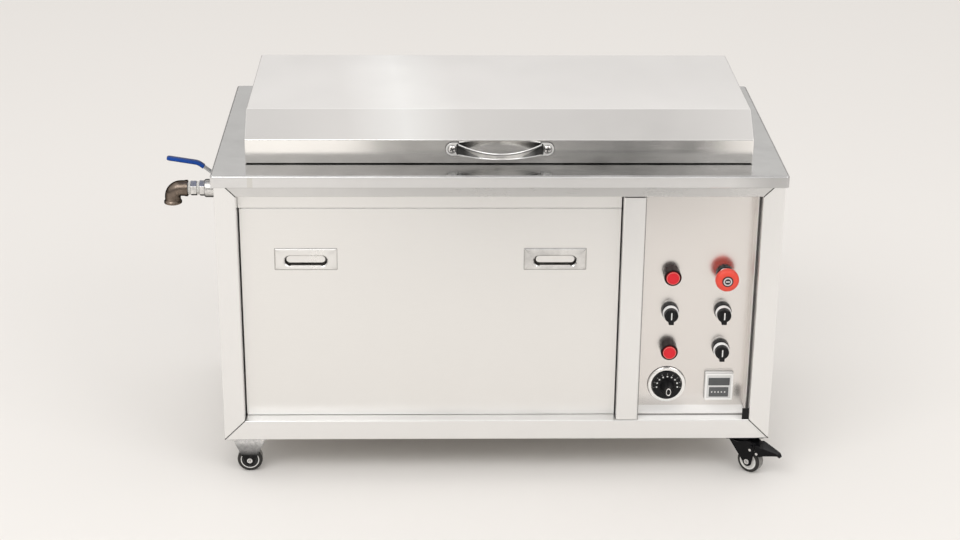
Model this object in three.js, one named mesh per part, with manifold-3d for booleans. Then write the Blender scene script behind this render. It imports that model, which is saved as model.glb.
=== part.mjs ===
// Industrial ultrasonic cleaner: a stainless bench cabinet on casters with a hinged lid,
// a pull-off service door, a recessed control panel and a side drain with a ball valve.
// Millimetres, +Z up, +X to the right of someone at the front, +Y to the back.

import * as THREE from 'three';
import { mergeVertices } from 'three/addons/utils/BufferGeometryUtils.js';
import Module from 'manifold-3d';

const wasm = await Module();
wasm.setup();

// Cabinet
const doorOpeningWidth = 646;
const controlBayWidth = 196;
const bodyDepth = 493;
const casterHeight = 72;
const frameHeight = 487;
const tubeSide = 36;
const tubeWall = 1.5;

// Clearances shared by every piece
const fitGap = 0.3;
const cutOverrun = 2;

// Body sheets
const panelSheet = 1.2;
const panelReturn = 14;
const floorSheet = 1.5;
const floorReturn = 20;
const louvreLength = 90;
const louvreHeight = 5;
const louvrePitch = 24;
const louvreRows = 3;
const louvreSideInset = 120;
const louvreTopInset = 60;

// Deck with its turned-down lip
const deckSheet = 2.5;
const deckOverhang = 5;
const lipHeight = 21;
const lipSheet = 2;
const deckEdgeRadius = 4;
const deckCornerRadius = 6;

// Tank hung under the deck
const tankEndSpace = 80;
const tankBackSpace = 81;
const tankDepth = 178.5;
const tankWall = 2;
const tankCornerRadius = 22;
const tankFlange = 15;
const tankFlangeSheet = 1.5;
const tankSetback = 112;

// Transducers on a plate under the tank floor
const transducerColumns = 4;
const transducerRows = 3;
const transducerEndInset = 147.5;
const transducerSideInset = 60;
const transducerPlateMargin = 45;
const transducerPlateSheet = 2;
const hornRadius = 28;
const hornHeight = 24;
const backMassRadius = 21;
const backMassHeight = 34;

// Heater strip on the back of the tank
const heaterInset = 115;
const heaterHeight = 70;
const heaterThickness = 4;
const heaterRise = 25;
const terminalWidth = 44;
const terminalHeight = 26;
const terminalDepth = 14;

// Ultrasonic generator on the floor
const generatorWidth = 280;
const generatorDepth = 200;
const generatorHeight = 112;
const generatorSetback = 150;
const generatorInset = 90;
const generatorBevel = 4;
const generatorSlotWidth = 4;
const generatorSlotDepth = 3;
const generatorSlotPitch = 18;
const generatorSlotCount = 10;
const generatorFootRadius = 9;
const generatorFootHeight = 8;
const generatorFootInset = 22;

// Cable gland in the back panel
const glandInset = 70;
const glandRise = 62;
const glandHexAcross = 24;
const glandHexThickness = 5;
const glandDomeRadius = 10.5;
const glandDomeLength = 16;
const glandNoseRadius = 7;
const glandBoreRadius = 4.5;
const glandThreadRadius = 9.5;
const glandThreadLength = 9;

// Service door and the strip above it
const doorRecess = 24;
const doorSheet = 1.2;
const doorReturn = 18;
const doorSideGap = 2;
const doorTopGap = 1.7;
const doorFootGap = 0.4;
const headerHeight = 27;
const headerReturn = 12;

// Flush pulls
const pullWidth = 105;
const pullHeight = 38;
const pullSheet = 2;
const pullCornerRadius = 1.5;
const pullInset = 112;
const pullRise = 294.5;
const slotWidth = 72;
const slotHeight = 18.5;
const slotDrop = 3;
const bowlWidth = 84;
const bowlHeight = 30;
const bowlDepth = 24;
const bowlWall = 1.2;
const bowlClearance = 0.5;
const lipDrop = 10.5;
const lipSetIn = 4.5;
const lipCurl = 3.5;
const lipSideGap = 3.5;

// Recessed control panel
const controlRecess = 50;
const controlSheet = 1.5;
const controlFlange = 31;
const controlSideGap = 3.5;
const controlFootGap = 3.5;
const controlNotch = 13;
const rowRise = 46.5;
const rowPitch = 70;
const columnInset = 55;
const columnPitch = 91.5;

// Parts shared by the controls in 22 mm holes
const controlHoleRadius = 11.2;
const controlBarrelRadius = 10.8;
const lockNutAcross = 27;
const lockNutThickness = 4;
const contactBlockSide = 30;
const contactBlockDepth = 26;

// Round push-buttons
const buttonBaseRadius = 14.7;
const buttonBaseHeight = 5;
const buttonCollarRadius = 13.2;
const buttonCollarHeight = 22.5;
const buttonBoreRadius = 11.8;
const buttonBoreDepth = 17;
const buttonCapRadius = 11.4;
const buttonCapLength = 11;
const buttonCapProud = 1.2;
const buttonCapEdge = 1;

// Emergency stop
const stopBaseRadius = 14.7;
const stopBaseHeight = 8;
const stopNeckRadius = 11;
const stopNeckHeight = 18;
const stopBoreRadius = 8.4;
const stopStemRadius = 8;
const stopStemLength = 12;
const stopHeadRadius = 20.2;
const stopHeadBack = 24;
const stopHeadRimHeight = 7;
const stopHeadFront = 38;
const stopFaceRadius = 14;
const stopDiscRadius = 7.8;
const stopDiscHeight = 0.8;
const stopHeadEdge = 1.2;
const stopTravel = 4.5;

// Selector switches
const selectorBaseRadius = 15;
const selectorBaseHeight = 6;
const selectorRingRadius = 13.6;
const selectorRingHeight = 11;
const selectorBoreRadius = 9;
const selectorBoreDepth = 9;
const selectorKnobRadius = 12;
const selectorKnobFront = 18;
const selectorKnobEdge = 1.5;
const selectorStemRadius = 8.5;
const selectorBarWidth = 8.4;
const selectorBarFront = 28;
const selectorBarTaper = 1.2;

// Thermostat dial
const dialBezelRadius = 33.8;
const dialBezelHeight = 4.5;
const dialBezelInnerRadius = 26.4;
const dialBezelEdge = 1.5;
const dialKnobRadius = 25.8;
const dialKnobBack = 2;
const dialKnobFront = 10;
const dialKnobEdge = 2;
const dialGripRootRadius = 13;
const dialGripFront = 35;
const dialGripTipWidth = 9;
const dialGripTipHeight = 16;
const dialGripRings = 6;
const dialStemRadius = 3;
const dialStemSeat = 14;
const dialShaftClearance = 0.3;
const thermostatRadius = 20;
const thermostatDepth = 32;
const dialHubRadius = 8;

// Digital timer
const timerSide = 48;
const timerProud = 10;
const timerEdge = 1.2;
const timerBodySide = 44.5;
const timerBodyDepth = 62;
const timerBodyClearance = 0.5;
const timerWindowWidth = 39;
const timerWindowHeight = 15.5;
const timerKeysWidth = 35;
const timerKeysHeight = 17;
const timerWindowInset = 5;
const timerWindowSpacing = 3;
const timerRecess = 1;

// Drain line on the left side
const drainInset = 37;
const drainRise = 18;
const pipeRadius = 12.4;
const pipeBoreRadius = 9.6;
const pipeCollarRadius = 16;
const pipeCollarLength = 6;
const valveInnerEnd = 8;
const valveLength = 61;
const valveHexAcross = 26.5;
const valveHexLength = 11.4;
const valveBarrelRadius = 17;
const valveBarrelEdge = 2;
const valveBoreRadius = 8.6;
const valveSocketDepth = 13;
const stemCollarRadius = 9;
const stemCollarRise = 26;
const stemRadius = 4.5;
const stemSeat = 8;
const stemNutAcross = 11;
const stemNutHeight = 6;
const hexNippleAcross = 25.4;
const hexNippleLength = 11.3;
const threadShow = 5.3;
const nippleBoreRadius = 8.6;
const elbowBodyRadius = 14.6;
const elbowBeadRadius = 16.6;
const elbowInletRadius = 15.4;
const elbowBeadLength = 5;
const elbowSocketDepth = 12;
const elbowBoreRadius = 11;
const elbowBend = 16;
const elbowSteps = 4;
const elbowBeadStep = 1.2;
const elbowReach = 29;
const elbowDrop = 29;

// Ball valve lever
const leverHubRadius = 9.5;
const leverHubRise = 28.5;
const leverSheet = 3;
const leverWidth = 14;
const leverKinkReach = 5.5;
const leverKinkEnd = 31;
const leverKinkRise = 20;
const leverReach = 86.5;
const leverTipRise = 29;
const sleeveKinkLap = 8;
const sleeveWall = 2.4;
const sleeveEdge = 1.6;

// Lid
const lidEndMargin = 31;
const lidSetback = 55;
const lidGap = 2;
const lidFasciaHeight = 40.5;
const lidSlopeRun = 52;
const lidSlopeRise = 38;
const lidBackMargin = 15;
const lidSheet = 1.5;

// Lid handle
const handleSpan = 160;
const handleRise = 25;
const footWidth = 21.5;
const footHeight = 23;
const footSheet = 2.5;
const bowReach = 42;
const bowSheet = 3;
const bowRootHeight = 20;
const bowWaistHeight = 10.5;
const bowSteps = 16;

// Lid hinge
const hingeInset = 75;
const hingeKnuckles = 11;
const knuckleRadius = 3.5;
const hingePinRadius = 1.5;
const hingeLeafSheet = 1.2;
const hingeLeafWidth = 26;

// Casters
const wheelRadius = 22;
const wheelWidth = 18;
const tyreEdge = 3;
const rimRadius = 14.5;
const rimRecess = 2.5;
const hubRadius = 7;
const axleRadius = 3;
const axleHeadRadius = 5;
const axleHeadLength = 3.2;
const legSheet = 2;
const legGap = 1;
const legEndRadius = 9;
const casterPlateLength = 66;
const casterPlateWidth = 50;
const casterPlateSheet = 2.5;
const casterInsetX = 40;
const casterInsetY = 29;
const rigidLegTopLength = 62;
const raceRadius = 22.5;
const raceHeight = 5.5;
const kingPinRadius = 5;
const kingPinHeadRadius = 8;
const kingPinHeadHeight = 3;
const crownRadius = 24;
const crownSheet = 2.5;
const crownLegLength = 40;
const crownLegDrop = 9;
const casterTrail = 19;
const casterTurnDegrees = -41;
const pedalPinReach = 27;
const pedalPinRise = 55;
const pedalPinRadius = 2.5;
const pedalPinEnd = 14.5;
const pedalEarRadius = 6;
const pedalHubRadius = 4.6;
const pedalSheet = 2.2;
const pedalRootReach = 25.5;
const pedalRootRise = 60.4;
const pedalTipReach = 75.5;
const pedalTipRise = 51.5;
const pedalWingReach = 36;
const pedalWingWidth = 27;
const pedalTipWidth = 34;
const pedalTipDrop = 5;
const pedalSwingDegrees = 15;
const shoeContactDegrees = 57;
const shoeRadius = 3.5;
const shoeWidth = 12;
const shoeWebSheet = 4;

// Facet counts
const pinSteps = 8;
const smallSteps = 12;
const roundSteps = 16;
const wheelSteps = 16;
const wideSteps = 20;
const hexSteps = 6;
const cornerSteps = 2;

// Places worked out from the sizes above
const bodyWidth = doorOpeningWidth + controlBayWidth + 3 * tubeSide;
const halfWidth = bodyWidth / 2;
const frameBottom = casterHeight;
const frameTop = frameBottom + frameHeight;
const railTop = frameBottom + tubeSide;
const topRailBottom = frameTop - tubeSide;
const openingLeft = tubeSide - halfWidth;
const openingRight = halfWidth - tubeSide;
const postLeft = openingLeft + doorOpeningWidth;
const postRight = postLeft + tubeSide;
const rearTubeFront = bodyDepth - tubeSide;
const deckUnder = frameTop + fitGap;
const deckTop = deckUnder + deckSheet;
const lipBottom = deckTop - lipHeight;
const tankFloor = deckTop - tankDepth;
const tankUnder = tankFloor - tankWall;
const tankLength = bodyWidth - 2 * tankEndSpace;
const tankBack = bodyDepth - tankBackSpace;
const tankWidth = tankBack - tankSetback;
const drainSetback = tankBack - drainInset;
const drainHeight = tankFloor + drainRise;
const lidBottom = deckTop + lidGap;
const lidWidth = tankLength + 2 * lidEndMargin;
const lidBack = tankBack + lidBackMargin;
const lidTop = lidBottom + lidFasciaHeight + lidSlopeRise;
const controlFace = controlRecess;
const controlBottom = railTop + controlFootGap;
const leftColumn = postRight + columnInset;
const rightColumn = leftColumn + columnPitch;
const legReach = wheelWidth / 2 + legGap;

// Finishes
const steel = (roughness) => new THREE.MeshStandardMaterial({ color: 0xd9d7d3, roughness, metalness: 1 });
const plain = (color, roughness) => new THREE.MeshStandardMaterial({ color, roughness, metalness: 0 });
const brushedSteel = steel(0.35);
const polishedSteel = steel(0.15);
const bronzeIron = new THREE.MeshStandardMaterial({ color: 0x7d6a58, roughness: 0.45, metalness: 0.9 });
const zincSteel = new THREE.MeshStandardMaterial({ color: 0x8f9194, roughness: 0.4, metalness: 1 });
const blackSteel = new THREE.MeshStandardMaterial({ color: 0x1b1c1e, roughness: 0.4, metalness: 0.6 });
const blackPlastic = plain(0x161617, 0.4);
const greyPlastic = plain(0xb9b8b4, 0.45);
const redPlastic = plain(0xd5202c, 0.35);
const bluePlastic = plain(0x1f4fae, 0.4);
const blackRubber = plain(0x2b2b2a, 0.7);

// Solids from three.js geometry

function signedVolume(points, corners) {
  const [a, b, c] = [new THREE.Vector3(), new THREE.Vector3(), new THREE.Vector3()];
  let volume = 0;
  for (let i = 0; i < corners.length; i += 3) {
    a.fromArray(points, corners[i] * 3);
    b.fromArray(points, corners[i + 1] * 3);
    c.fromArray(points, corners[i + 2] * 3);
    volume += a.dot(b.cross(c));
  }
  return volume;
}

function solid(geometry) {
  const bare = geometry.clone();
  bare.deleteAttribute('normal');
  bare.deleteAttribute('uv');
  const merged = mergeVertices(bare);
  const points = merged.attributes.position.array;
  const all = merged.index.array;
  const corners = [];
  for (let i = 0; i < all.length; i += 3) {
    const [a, b, c] = [all[i], all[i + 1], all[i + 2]];
    if (a !== b && b !== c && c !== a) corners.push(a, b, c);
  }
  if (signedVolume(points, corners) < 0) corners.reverse();
  return new wasm.Manifold(new wasm.Mesh({
    numProp: 3,
    vertProperties: new Float32Array(points),
    triVerts: new Uint32Array(corners),
  }));
}

const join = (first, ...others) => others.reduce((sum, other) => sum.add(other), first);
const cut = (first, ...others) => others.reduce((rest, other) => rest.subtract(other), first);

function piece(name, body, material) {
  const { numProp, vertProperties, triVerts } = body.getMesh();
  const geometry = new THREE.BufferGeometry();
  geometry.setAttribute('position', new THREE.BufferAttribute(new Float32Array(vertProperties), numProp));
  geometry.setIndex([...triVerts]);
  const flat = geometry.toNonIndexed();
  flat.computeVertexNormals();
  const mesh = new THREE.Mesh(flat, material);
  mesh.name = name;
  return mesh;
}

function box(x0, x1, y0, y1, z0, z1) {
  const geometry = new THREE.BoxGeometry(x1 - x0, y1 - y0, z1 - z0);
  return solid(geometry.translate((x0 + x1) / 2, (y0 + y1) / 2, (z0 + z1) / 2));
}

const outline = (points) => new THREE.Shape(points.map(([x, y]) => new THREE.Vector2(x, y)));

function extruded(shape, length) {
  return new THREE.ExtrudeGeometry(shape, {
    depth: length,
    bevelEnabled: false,
    steps: 1,
    curveSegments: cornerSteps,
  });
}

// An outline in X and Y, raised from z0 to z1
const prismUp = (shape, z0, z1) => solid(extruded(shape, z1 - z0).translate(0, 0, z0));

// An outline in X and Z, filled from y0 to y1
function prismBack(shape, y0, y1, [x, z] = [0, 0]) {
  return solid(extruded(shape, y1 - y0).rotateX(Math.PI / 2).translate(x, y1, z));
}

// An outline in Y and Z, filled from x0 to x1
function prismAcross(shape, x0, x1) {
  return solid(extruded(shape, x1 - x0).rotateX(Math.PI / 2).rotateZ(Math.PI / 2).translate(x0, 0, 0));
}

function roundedRectangle(x0, x1, y0, y1, radius) {
  const shape = new THREE.Shape();
  shape.absarc(x1 - radius, y0 + radius, radius, -Math.PI / 2, 0, false);
  shape.absarc(x1 - radius, y1 - radius, radius, 0, Math.PI / 2, false);
  shape.absarc(x0 + radius, y1 - radius, radius, Math.PI / 2, Math.PI, false);
  shape.absarc(x0 + radius, y0 + radius, radius, Math.PI, Math.PI * 1.5, false);
  shape.closePath();
  return shape;
}

// A slot with round ends, long in its first direction
function slotShape(centreX, centreY, length, height) {
  const radius = height / 2;
  const reach = length / 2 - radius;
  const ends = [[1, -Math.PI / 2], [-1, Math.PI / 2]];
  const points = [];
  for (const [side, start] of ends) {
    for (let i = 0; i <= 2 * cornerSteps; i += 1) {
      const angle = start + (Math.PI * i) / (2 * cornerSteps);
      points.push([centreX + side * reach + radius * Math.cos(angle), centreY + radius * Math.sin(angle)]);
    }
  }
  return outline(points);
}

// Turned solids: each profile is a list of [radius, height], and place is where its zero stands
const lathe = (profile, steps) => new THREE.LatheGeometry(
  profile.map(([radius, height]) => new THREE.Vector2(radius, height)), steps,
);

function turnedUp(profile, steps, place = [0, 0, 0]) {
  return solid(lathe(profile, steps).rotateX(Math.PI / 2).translate(...place));
}

function turnedLeft(profile, steps, place = [0, 0, 0]) {
  return solid(lathe(profile, steps).rotateZ(Math.PI / 2).translate(...place));
}

function turnedForward(profile, steps, place = [0, 0, 0]) {
  return solid(lathe(profile, steps).rotateX(Math.PI).translate(...place));
}

const rod = (radius, from, to) => [[0, from], [radius, from], [radius, to], [0, to]];
const hexRadius = (across) => across / Math.sqrt(3);

// A closed skin through rings of points, capped at both ends
function lofted(rings) {
  const count = rings[0].length;
  const points = rings.flat(2);
  const corners = [];
  rings.slice(1).forEach((_, row) => {
    for (let i = 0; i < count; i += 1) {
      const [a, b] = [row * count + i, row * count + ((i + 1) % count)];
      corners.push(a, b, b + count, a, b + count, a + count);
    }
  });
  for (let i = 1; i < count - 1; i += 1) {
    const last = (rings.length - 1) * count;
    corners.push(0, i + 1, i, last, last + i, last + i + 1);
  }
  const geometry = new THREE.BufferGeometry();
  geometry.setAttribute('position', new THREE.Float32BufferAttribute(points, 3));
  geometry.setIndex(corners);
  return solid(geometry);
}

// A sheet tray: a flat face with a return along each edge, hollow on the side named by open
function tray([x0, x1, y0, y1, z0, z1], sheet, open) {
  const inner = [x0 + sheet, x1 - sheet, y0 + sheet, y1 - sheet, z0 + sheet, z1 - sheet];
  const outer = [x0, x1, y0, y1, z0, z1];
  const side = { left: 0, right: 1, front: 2, back: 3, below: 4, above: 5 }[open];
  inner[side] = outer[side] + (side % 2 ? cutOverrun : -cutOverrun);
  return cut(box(...outer), box(...inner));
}

// Front frame of mitred square tube

function frontMember(name, corners, hollow) {
  const outer = prismBack(outline(corners), 0, tubeSide);
  const [x0, x1, z0, z1] = hollow;
  const inner = box(x0, x1, tubeWall, tubeSide - tubeWall, z0, z1);
  return piece(name, cut(outer, inner), brushedSteel);
}

function frontFrame() {
  const mitre = fitGap / Math.SQRT2;
  const post = (name, side) => frontMember(name, [
    [side * halfWidth, frameBottom + mitre],
    [side * openingRight, railTop + mitre],
    [side * openingRight, topRailBottom - mitre],
    [side * halfWidth, frameTop - mitre],
  ], [
    ...[side * (halfWidth - tubeWall), side * (openingRight + tubeWall)].sort((a, b) => a - b),
    frameBottom - cutOverrun, frameTop + cutOverrun,
  ]);
  const rail = (name, outerEdge, innerEdge) => {
    const low = Math.min(outerEdge, innerEdge);
    return frontMember(name, [
      [mitre - halfWidth, outerEdge],
      [openingLeft + mitre, innerEdge],
      [openingRight - mitre, innerEdge],
      [halfWidth - mitre, outerEdge],
    ], [-halfWidth, halfWidth, low + tubeWall, low + tubeSide - tubeWall]);
  };
  const centre = outline([
    [postLeft, railTop + fitGap], [postRight, railTop + fitGap],
    [postRight, topRailBottom - fitGap], [postLeft, topRailBottom - fitGap],
  ]);
  const centreHollow = box(
    postLeft + tubeWall, postRight - tubeWall, tubeWall, tubeSide - tubeWall,
    railTop - cutOverrun, topRailBottom + cutOverrun,
  );
  return [
    post('front_left_post', -1),
    post('front_right_post', 1),
    rail('front_bottom_rail', frameBottom, railTop),
    rail('front_top_rail', frameTop, topRailBottom),
    piece('centre_post', cut(prismBack(centre, 0, tubeSide), centreHollow), brushedSteel),
  ];
}

// Back frame

function rearPost(name, side) {
  const x0 = side < 0 ? -halfWidth : openingRight;
  const x1 = x0 + tubeSide;
  const outer = box(x0, x1, rearTubeFront, bodyDepth, frameBottom, frameTop);
  const inner = box(
    x0 + tubeWall, x1 - tubeWall, rearTubeFront + tubeWall, bodyDepth - tubeWall,
    frameBottom - cutOverrun, frameTop + cutOverrun,
  );
  return piece(name, cut(outer, inner), brushedSteel);
}

function rearBottomRail() {
  const outer = box(
    openingLeft + fitGap, openingRight - fitGap, rearTubeFront, bodyDepth, frameBottom, railTop,
  );
  const inner = box(
    openingLeft - cutOverrun, openingRight + cutOverrun, rearTubeFront + tubeWall,
    bodyDepth - tubeWall, frameBottom + tubeWall, railTop - tubeWall,
  );
  return piece('rear_bottom_rail', cut(outer, inner), brushedSteel);
}

// Body sheets

function leftSidePanel() {
  const sheet = tray([
    -halfWidth, panelReturn - halfWidth, tubeSide + fitGap, rearTubeFront - fitGap, frameBottom, frameTop,
  ], panelSheet, 'right');
  const hole = turnedLeft(
    rod(pipeRadius + fitGap, halfWidth - panelReturn, halfWidth + cutOverrun), roundSteps,
    [0, drainSetback, drainHeight],
  );
  return piece('left_side_panel', cut(sheet, hole), brushedSteel);
}

function rightSidePanel() {
  return piece('right_side_panel', tray([
    halfWidth - panelReturn, halfWidth, tubeSide + fitGap, rearTubeFront - fitGap, frameBottom, frameTop,
  ], panelSheet, 'left'), brushedSteel);
}

function rearPanel() {
  const sheet = tray([
    openingLeft + fitGap, openingRight - fitGap, bodyDepth - panelReturn, bodyDepth,
    railTop + fitGap, frameTop,
  ], panelSheet, 'front');
  const cutters = [];
  for (const side of [-1, 1]) {
    for (let row = 0; row < louvreRows; row += 1) {
      const centreX = side * (openingRight - louvreSideInset);
      const centreZ = frameTop - louvreTopInset - row * louvrePitch;
      const slot = slotShape(centreX, centreZ, louvreLength, louvreHeight);
      cutters.push(prismBack(slot, bodyDepth - 2 * panelSheet, bodyDepth + cutOverrun));
    }
  }
  cutters.push(turnedForward(
    rod(glandThreadRadius + fitGap, -bodyDepth - cutOverrun, 2 * panelSheet - bodyDepth), smallSteps,
    [openingRight - glandInset, 0, railTop + glandRise],
  ));
  return piece('rear_panel', cut(sheet, ...cutters), brushedSteel);
}

function floorPan() {
  const reach = halfWidth - panelReturn - fitGap;
  return piece('floor_pan', tray([
    -reach, reach, tubeSide + fitGap, rearTubeFront - fitGap, frameBottom, frameBottom + floorReturn,
  ], floorSheet, 'above'), brushedSteel);
}

function cableGland() {
  const face = glandHexThickness;
  const dome = turnedForward([
    [glandBoreRadius, fitGap + glandThreadLength], [glandThreadRadius, fitGap + glandThreadLength],
    [glandThreadRadius, -fitGap], [glandDomeRadius, -fitGap],
    [glandDomeRadius, -face - glandDomeLength / 2], [glandNoseRadius, -face - glandDomeLength],
    [glandBoreRadius, -face - glandDomeLength],
    [glandBoreRadius, fitGap + glandThreadLength],
  ], smallSteps);
  const hex = turnedForward([
    [glandBoreRadius, -fitGap], [hexRadius(glandHexAcross), -fitGap], [hexRadius(glandHexAcross), -face],
    [glandBoreRadius, -face], [glandBoreRadius, -fitGap],
  ], hexSteps);
  const gland = piece('cable_gland', join(dome, hex), blackPlastic);
  gland.position.set(openingRight - glandInset, bodyDepth, railTop + glandRise);
  return gland;
}

// Deck

function deckBlank(inset, top, bottom, edgeRadius, cornerRadius) {
  const shape = roundedRectangle(
    edgeRadius + inset - halfWidth - deckOverhang, halfWidth + deckOverhang - inset - edgeRadius,
    edgeRadius + inset - deckOverhang, bodyDepth + deckOverhang - inset - edgeRadius, cornerRadius,
  );
  const geometry = new THREE.ExtrudeGeometry(shape, {
    depth: top - bottom,
    bevelEnabled: true,
    bevelThickness: edgeRadius,
    bevelSize: edgeRadius,
    bevelSegments: cornerSteps,
    curveSegments: cornerSteps,
    steps: 1,
  });
  return solid(geometry.translate(0, 0, bottom - edgeRadius));
}

const tankOutline = (grow) => roundedRectangle(
  -tankLength / 2 - grow, tankLength / 2 + grow, tankSetback - grow, tankBack + grow,
  tankCornerRadius + grow,
);

function deck() {
  const innerRadius = deckEdgeRadius - lipSheet;
  const outer = deckBlank(0, deckTop, lipBottom, deckEdgeRadius, deckCornerRadius);
  const inner = deckBlank(lipSheet, deckUnder, lipBottom, innerRadius, deckCornerRadius);
  const below = box(
    -bodyWidth, bodyWidth, -bodyDepth, 2 * bodyDepth,
    lipBottom - 2 * deckEdgeRadius - cutOverrun, lipBottom,
  );
  const opening = prismUp(tankOutline(0), deckUnder - cutOverrun, deckTop + cutOverrun);
  return piece('deck', cut(outer, inner, below, opening), brushedSteel);
}

// Tank with its welded flange

function tank() {
  const flangeTop = deckUnder - fitGap;
  const flange = prismUp(tankOutline(tankFlange), flangeTop - tankFlangeSheet, flangeTop);
  const shell = prismUp(tankOutline(tankWall), tankUnder, flangeTop);
  const hollow = prismUp(tankOutline(0), tankFloor, flangeTop + cutOverrun);
  const wallStart = tankLength / 2 - cutOverrun;
  const wallEnd = tankLength / 2 + tankWall + cutOverrun;
  const outlet = turnedLeft(
    rod(pipeRadius + fitGap, wallStart, wallEnd), roundSteps, [0, drainSetback, drainHeight],
  );
  return piece('tank', cut(join(shell, flange), hollow, outlet), polishedSteel);
}

function transducerPlate() {
  const plateTop = tankUnder - fitGap;
  const plateBottom = plateTop - transducerPlateSheet;
  const centreY = (tankSetback + tankBack) / 2;
  const spanX = tankLength - 2 * transducerEndInset;
  const spanY = tankWidth - 2 * transducerSideInset;
  const reachX = spanX / 2 + transducerPlateMargin;
  const reachY = spanY / 2 + transducerPlateMargin;
  const plate = box(-reachX, reachX, centreY - reachY, centreY + reachY, plateBottom, plateTop);
  const hornEnd = -hornHeight;
  const massEnd = hornEnd - backMassHeight;
  const overlap = transducerPlateSheet / 2;
  const profile = [
    [0, overlap], [hornRadius, overlap], [backMassRadius, hornEnd], [backMassRadius, massEnd],
    [0, massEnd],
  ];
  const horns = [];
  for (let column = 0; column < transducerColumns; column += 1) {
    for (let row = 0; row < transducerRows; row += 1) {
      const x = spanX * (column / (transducerColumns - 1) - 1 / 2);
      const y = centreY + spanY * (row / (transducerRows - 1) - 1 / 2);
      horns.push(turnedUp(profile, pinSteps, [x, y, plateBottom]));
    }
  }
  return piece('transducer_plate', join(plate, ...horns), zincSteel);
}

function heaterPad() {
  const heaterLength = tankLength - 2 * heaterInset;
  const face = tankBack + tankWall + fitGap;
  const bottom = tankFloor + heaterRise;
  const pad = box(
    -heaterLength / 2, heaterLength / 2, face, face + heaterThickness, bottom, bottom + heaterHeight,
  );
  const middle = bottom + heaterHeight / 2;
  const terminal = box(
    -terminalWidth / 2, terminalWidth / 2, face, face + heaterThickness + terminalDepth,
    middle - terminalHeight / 2, middle + terminalHeight / 2,
  );
  return piece('heater_pad', join(pad, terminal), zincSteel);
}

function generatorCase() {
  const bottom = generatorFootHeight;
  const top = bottom + generatorHeight;
  const reachX = generatorWidth / 2;
  const reachY = generatorDepth / 2;
  const bevel = generatorBevel;
  const profile = outline([
    [-reachX, bottom], [reachX, bottom], [reachX, top - bevel], [reachX - bevel, top],
    [bevel - reachX, top], [-reachX, top - bevel],
  ]);
  const slots = [];
  for (let i = 0; i < generatorSlotCount; i += 1) {
    const x = (i - (generatorSlotCount - 1) / 2) * generatorSlotPitch;
    slots.push(box(
      x - generatorSlotWidth / 2, x + generatorSlotWidth / 2, -reachY - cutOverrun,
      generatorSlotDepth - reachY, bottom + generatorFootInset, top - generatorFootInset,
    ));
  }
  const feet = [];
  for (const [sideX, sideY] of [[-1, -1], [1, -1], [1, 1], [-1, 1]]) {
    feet.push(turnedUp(rod(generatorFootRadius, 0, bottom + bevel), pinSteps, [
      sideX * (reachX - generatorFootInset), sideY * (reachY - generatorFootInset), 0,
    ]));
  }
  const body = cut(prismBack(profile, -reachY, reachY), ...slots);
  const unit = piece('generator_case', join(body, ...feet), greyPlastic);
  unit.position.set(
    postLeft - generatorInset - reachX, generatorSetback + reachY, frameBottom + floorSheet + fitGap,
  );
  return unit;
}

// Service door with its two flush pulls

const headerTop = topRailBottom - fitGap;
const headerBottom = headerTop - headerHeight;
const doorCentre = (openingLeft + postLeft) / 2;
const pullReach = doorOpeningWidth / 2 - pullInset;
const doorTop = headerBottom - doorTopGap;
const doorBottom = railTop + doorFootGap;
const pullHeightAboveFloor = railTop + pullRise;

function doorHeader() {
  return piece('door_header', tray([
    openingLeft + fitGap, postLeft - fitGap, doorRecess, doorRecess + headerReturn,
    headerBottom, headerTop,
  ], doorSheet, 'back'), brushedSteel);
}

const bowlOutline = (grow) => roundedRectangle(
  -bowlWidth / 2 - grow, bowlWidth / 2 + grow, -bowlHeight / 2 - grow, bowlHeight / 2 + grow,
  pullCornerRadius + grow,
);

function doorPanel() {
  const sheet = tray([
    openingLeft + doorSideGap, postLeft - doorSideGap, doorRecess, doorRecess + doorReturn,
    doorBottom, doorTop,
  ], doorSheet, 'back');
  const holes = [-1, 1].map((side) => prismBack(
    bowlOutline(bowlWall + bowlClearance), doorRecess - cutOverrun, doorRecess + doorReturn / 2,
    [doorCentre + side * pullReach, pullHeightAboveFloor],
  ));
  return piece('door_panel', cut(sheet, ...holes), brushedSteel);
}

// A strip of even thickness along a bent line
function ribbon(points, thickness) {
  const places = points.map(([x, y]) => new THREE.Vector2(x, y));
  const sides = places.map((place, i) => {
    const before = places[Math.max(i - 1, 0)];
    const after = places[Math.min(i + 1, places.length - 1)];
    const arrive = place.clone().sub(before).normalize();
    const leave = after.clone().sub(place).normalize();
    const along = arrive.clone().add(leave).normalize();
    const spread = thickness / 2 / along.dot(arrive.lengthSq() > 0 ? arrive : leave);
    return new THREE.Vector2(-along.y, along.x).multiplyScalar(spread);
  });
  const left = places.map((place, i) => place.clone().add(sides[i]).toArray());
  const right = places.map((place, i) => place.clone().sub(sides[i]).toArray());
  return outline([...left, ...right.reverse()]);
}

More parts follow.
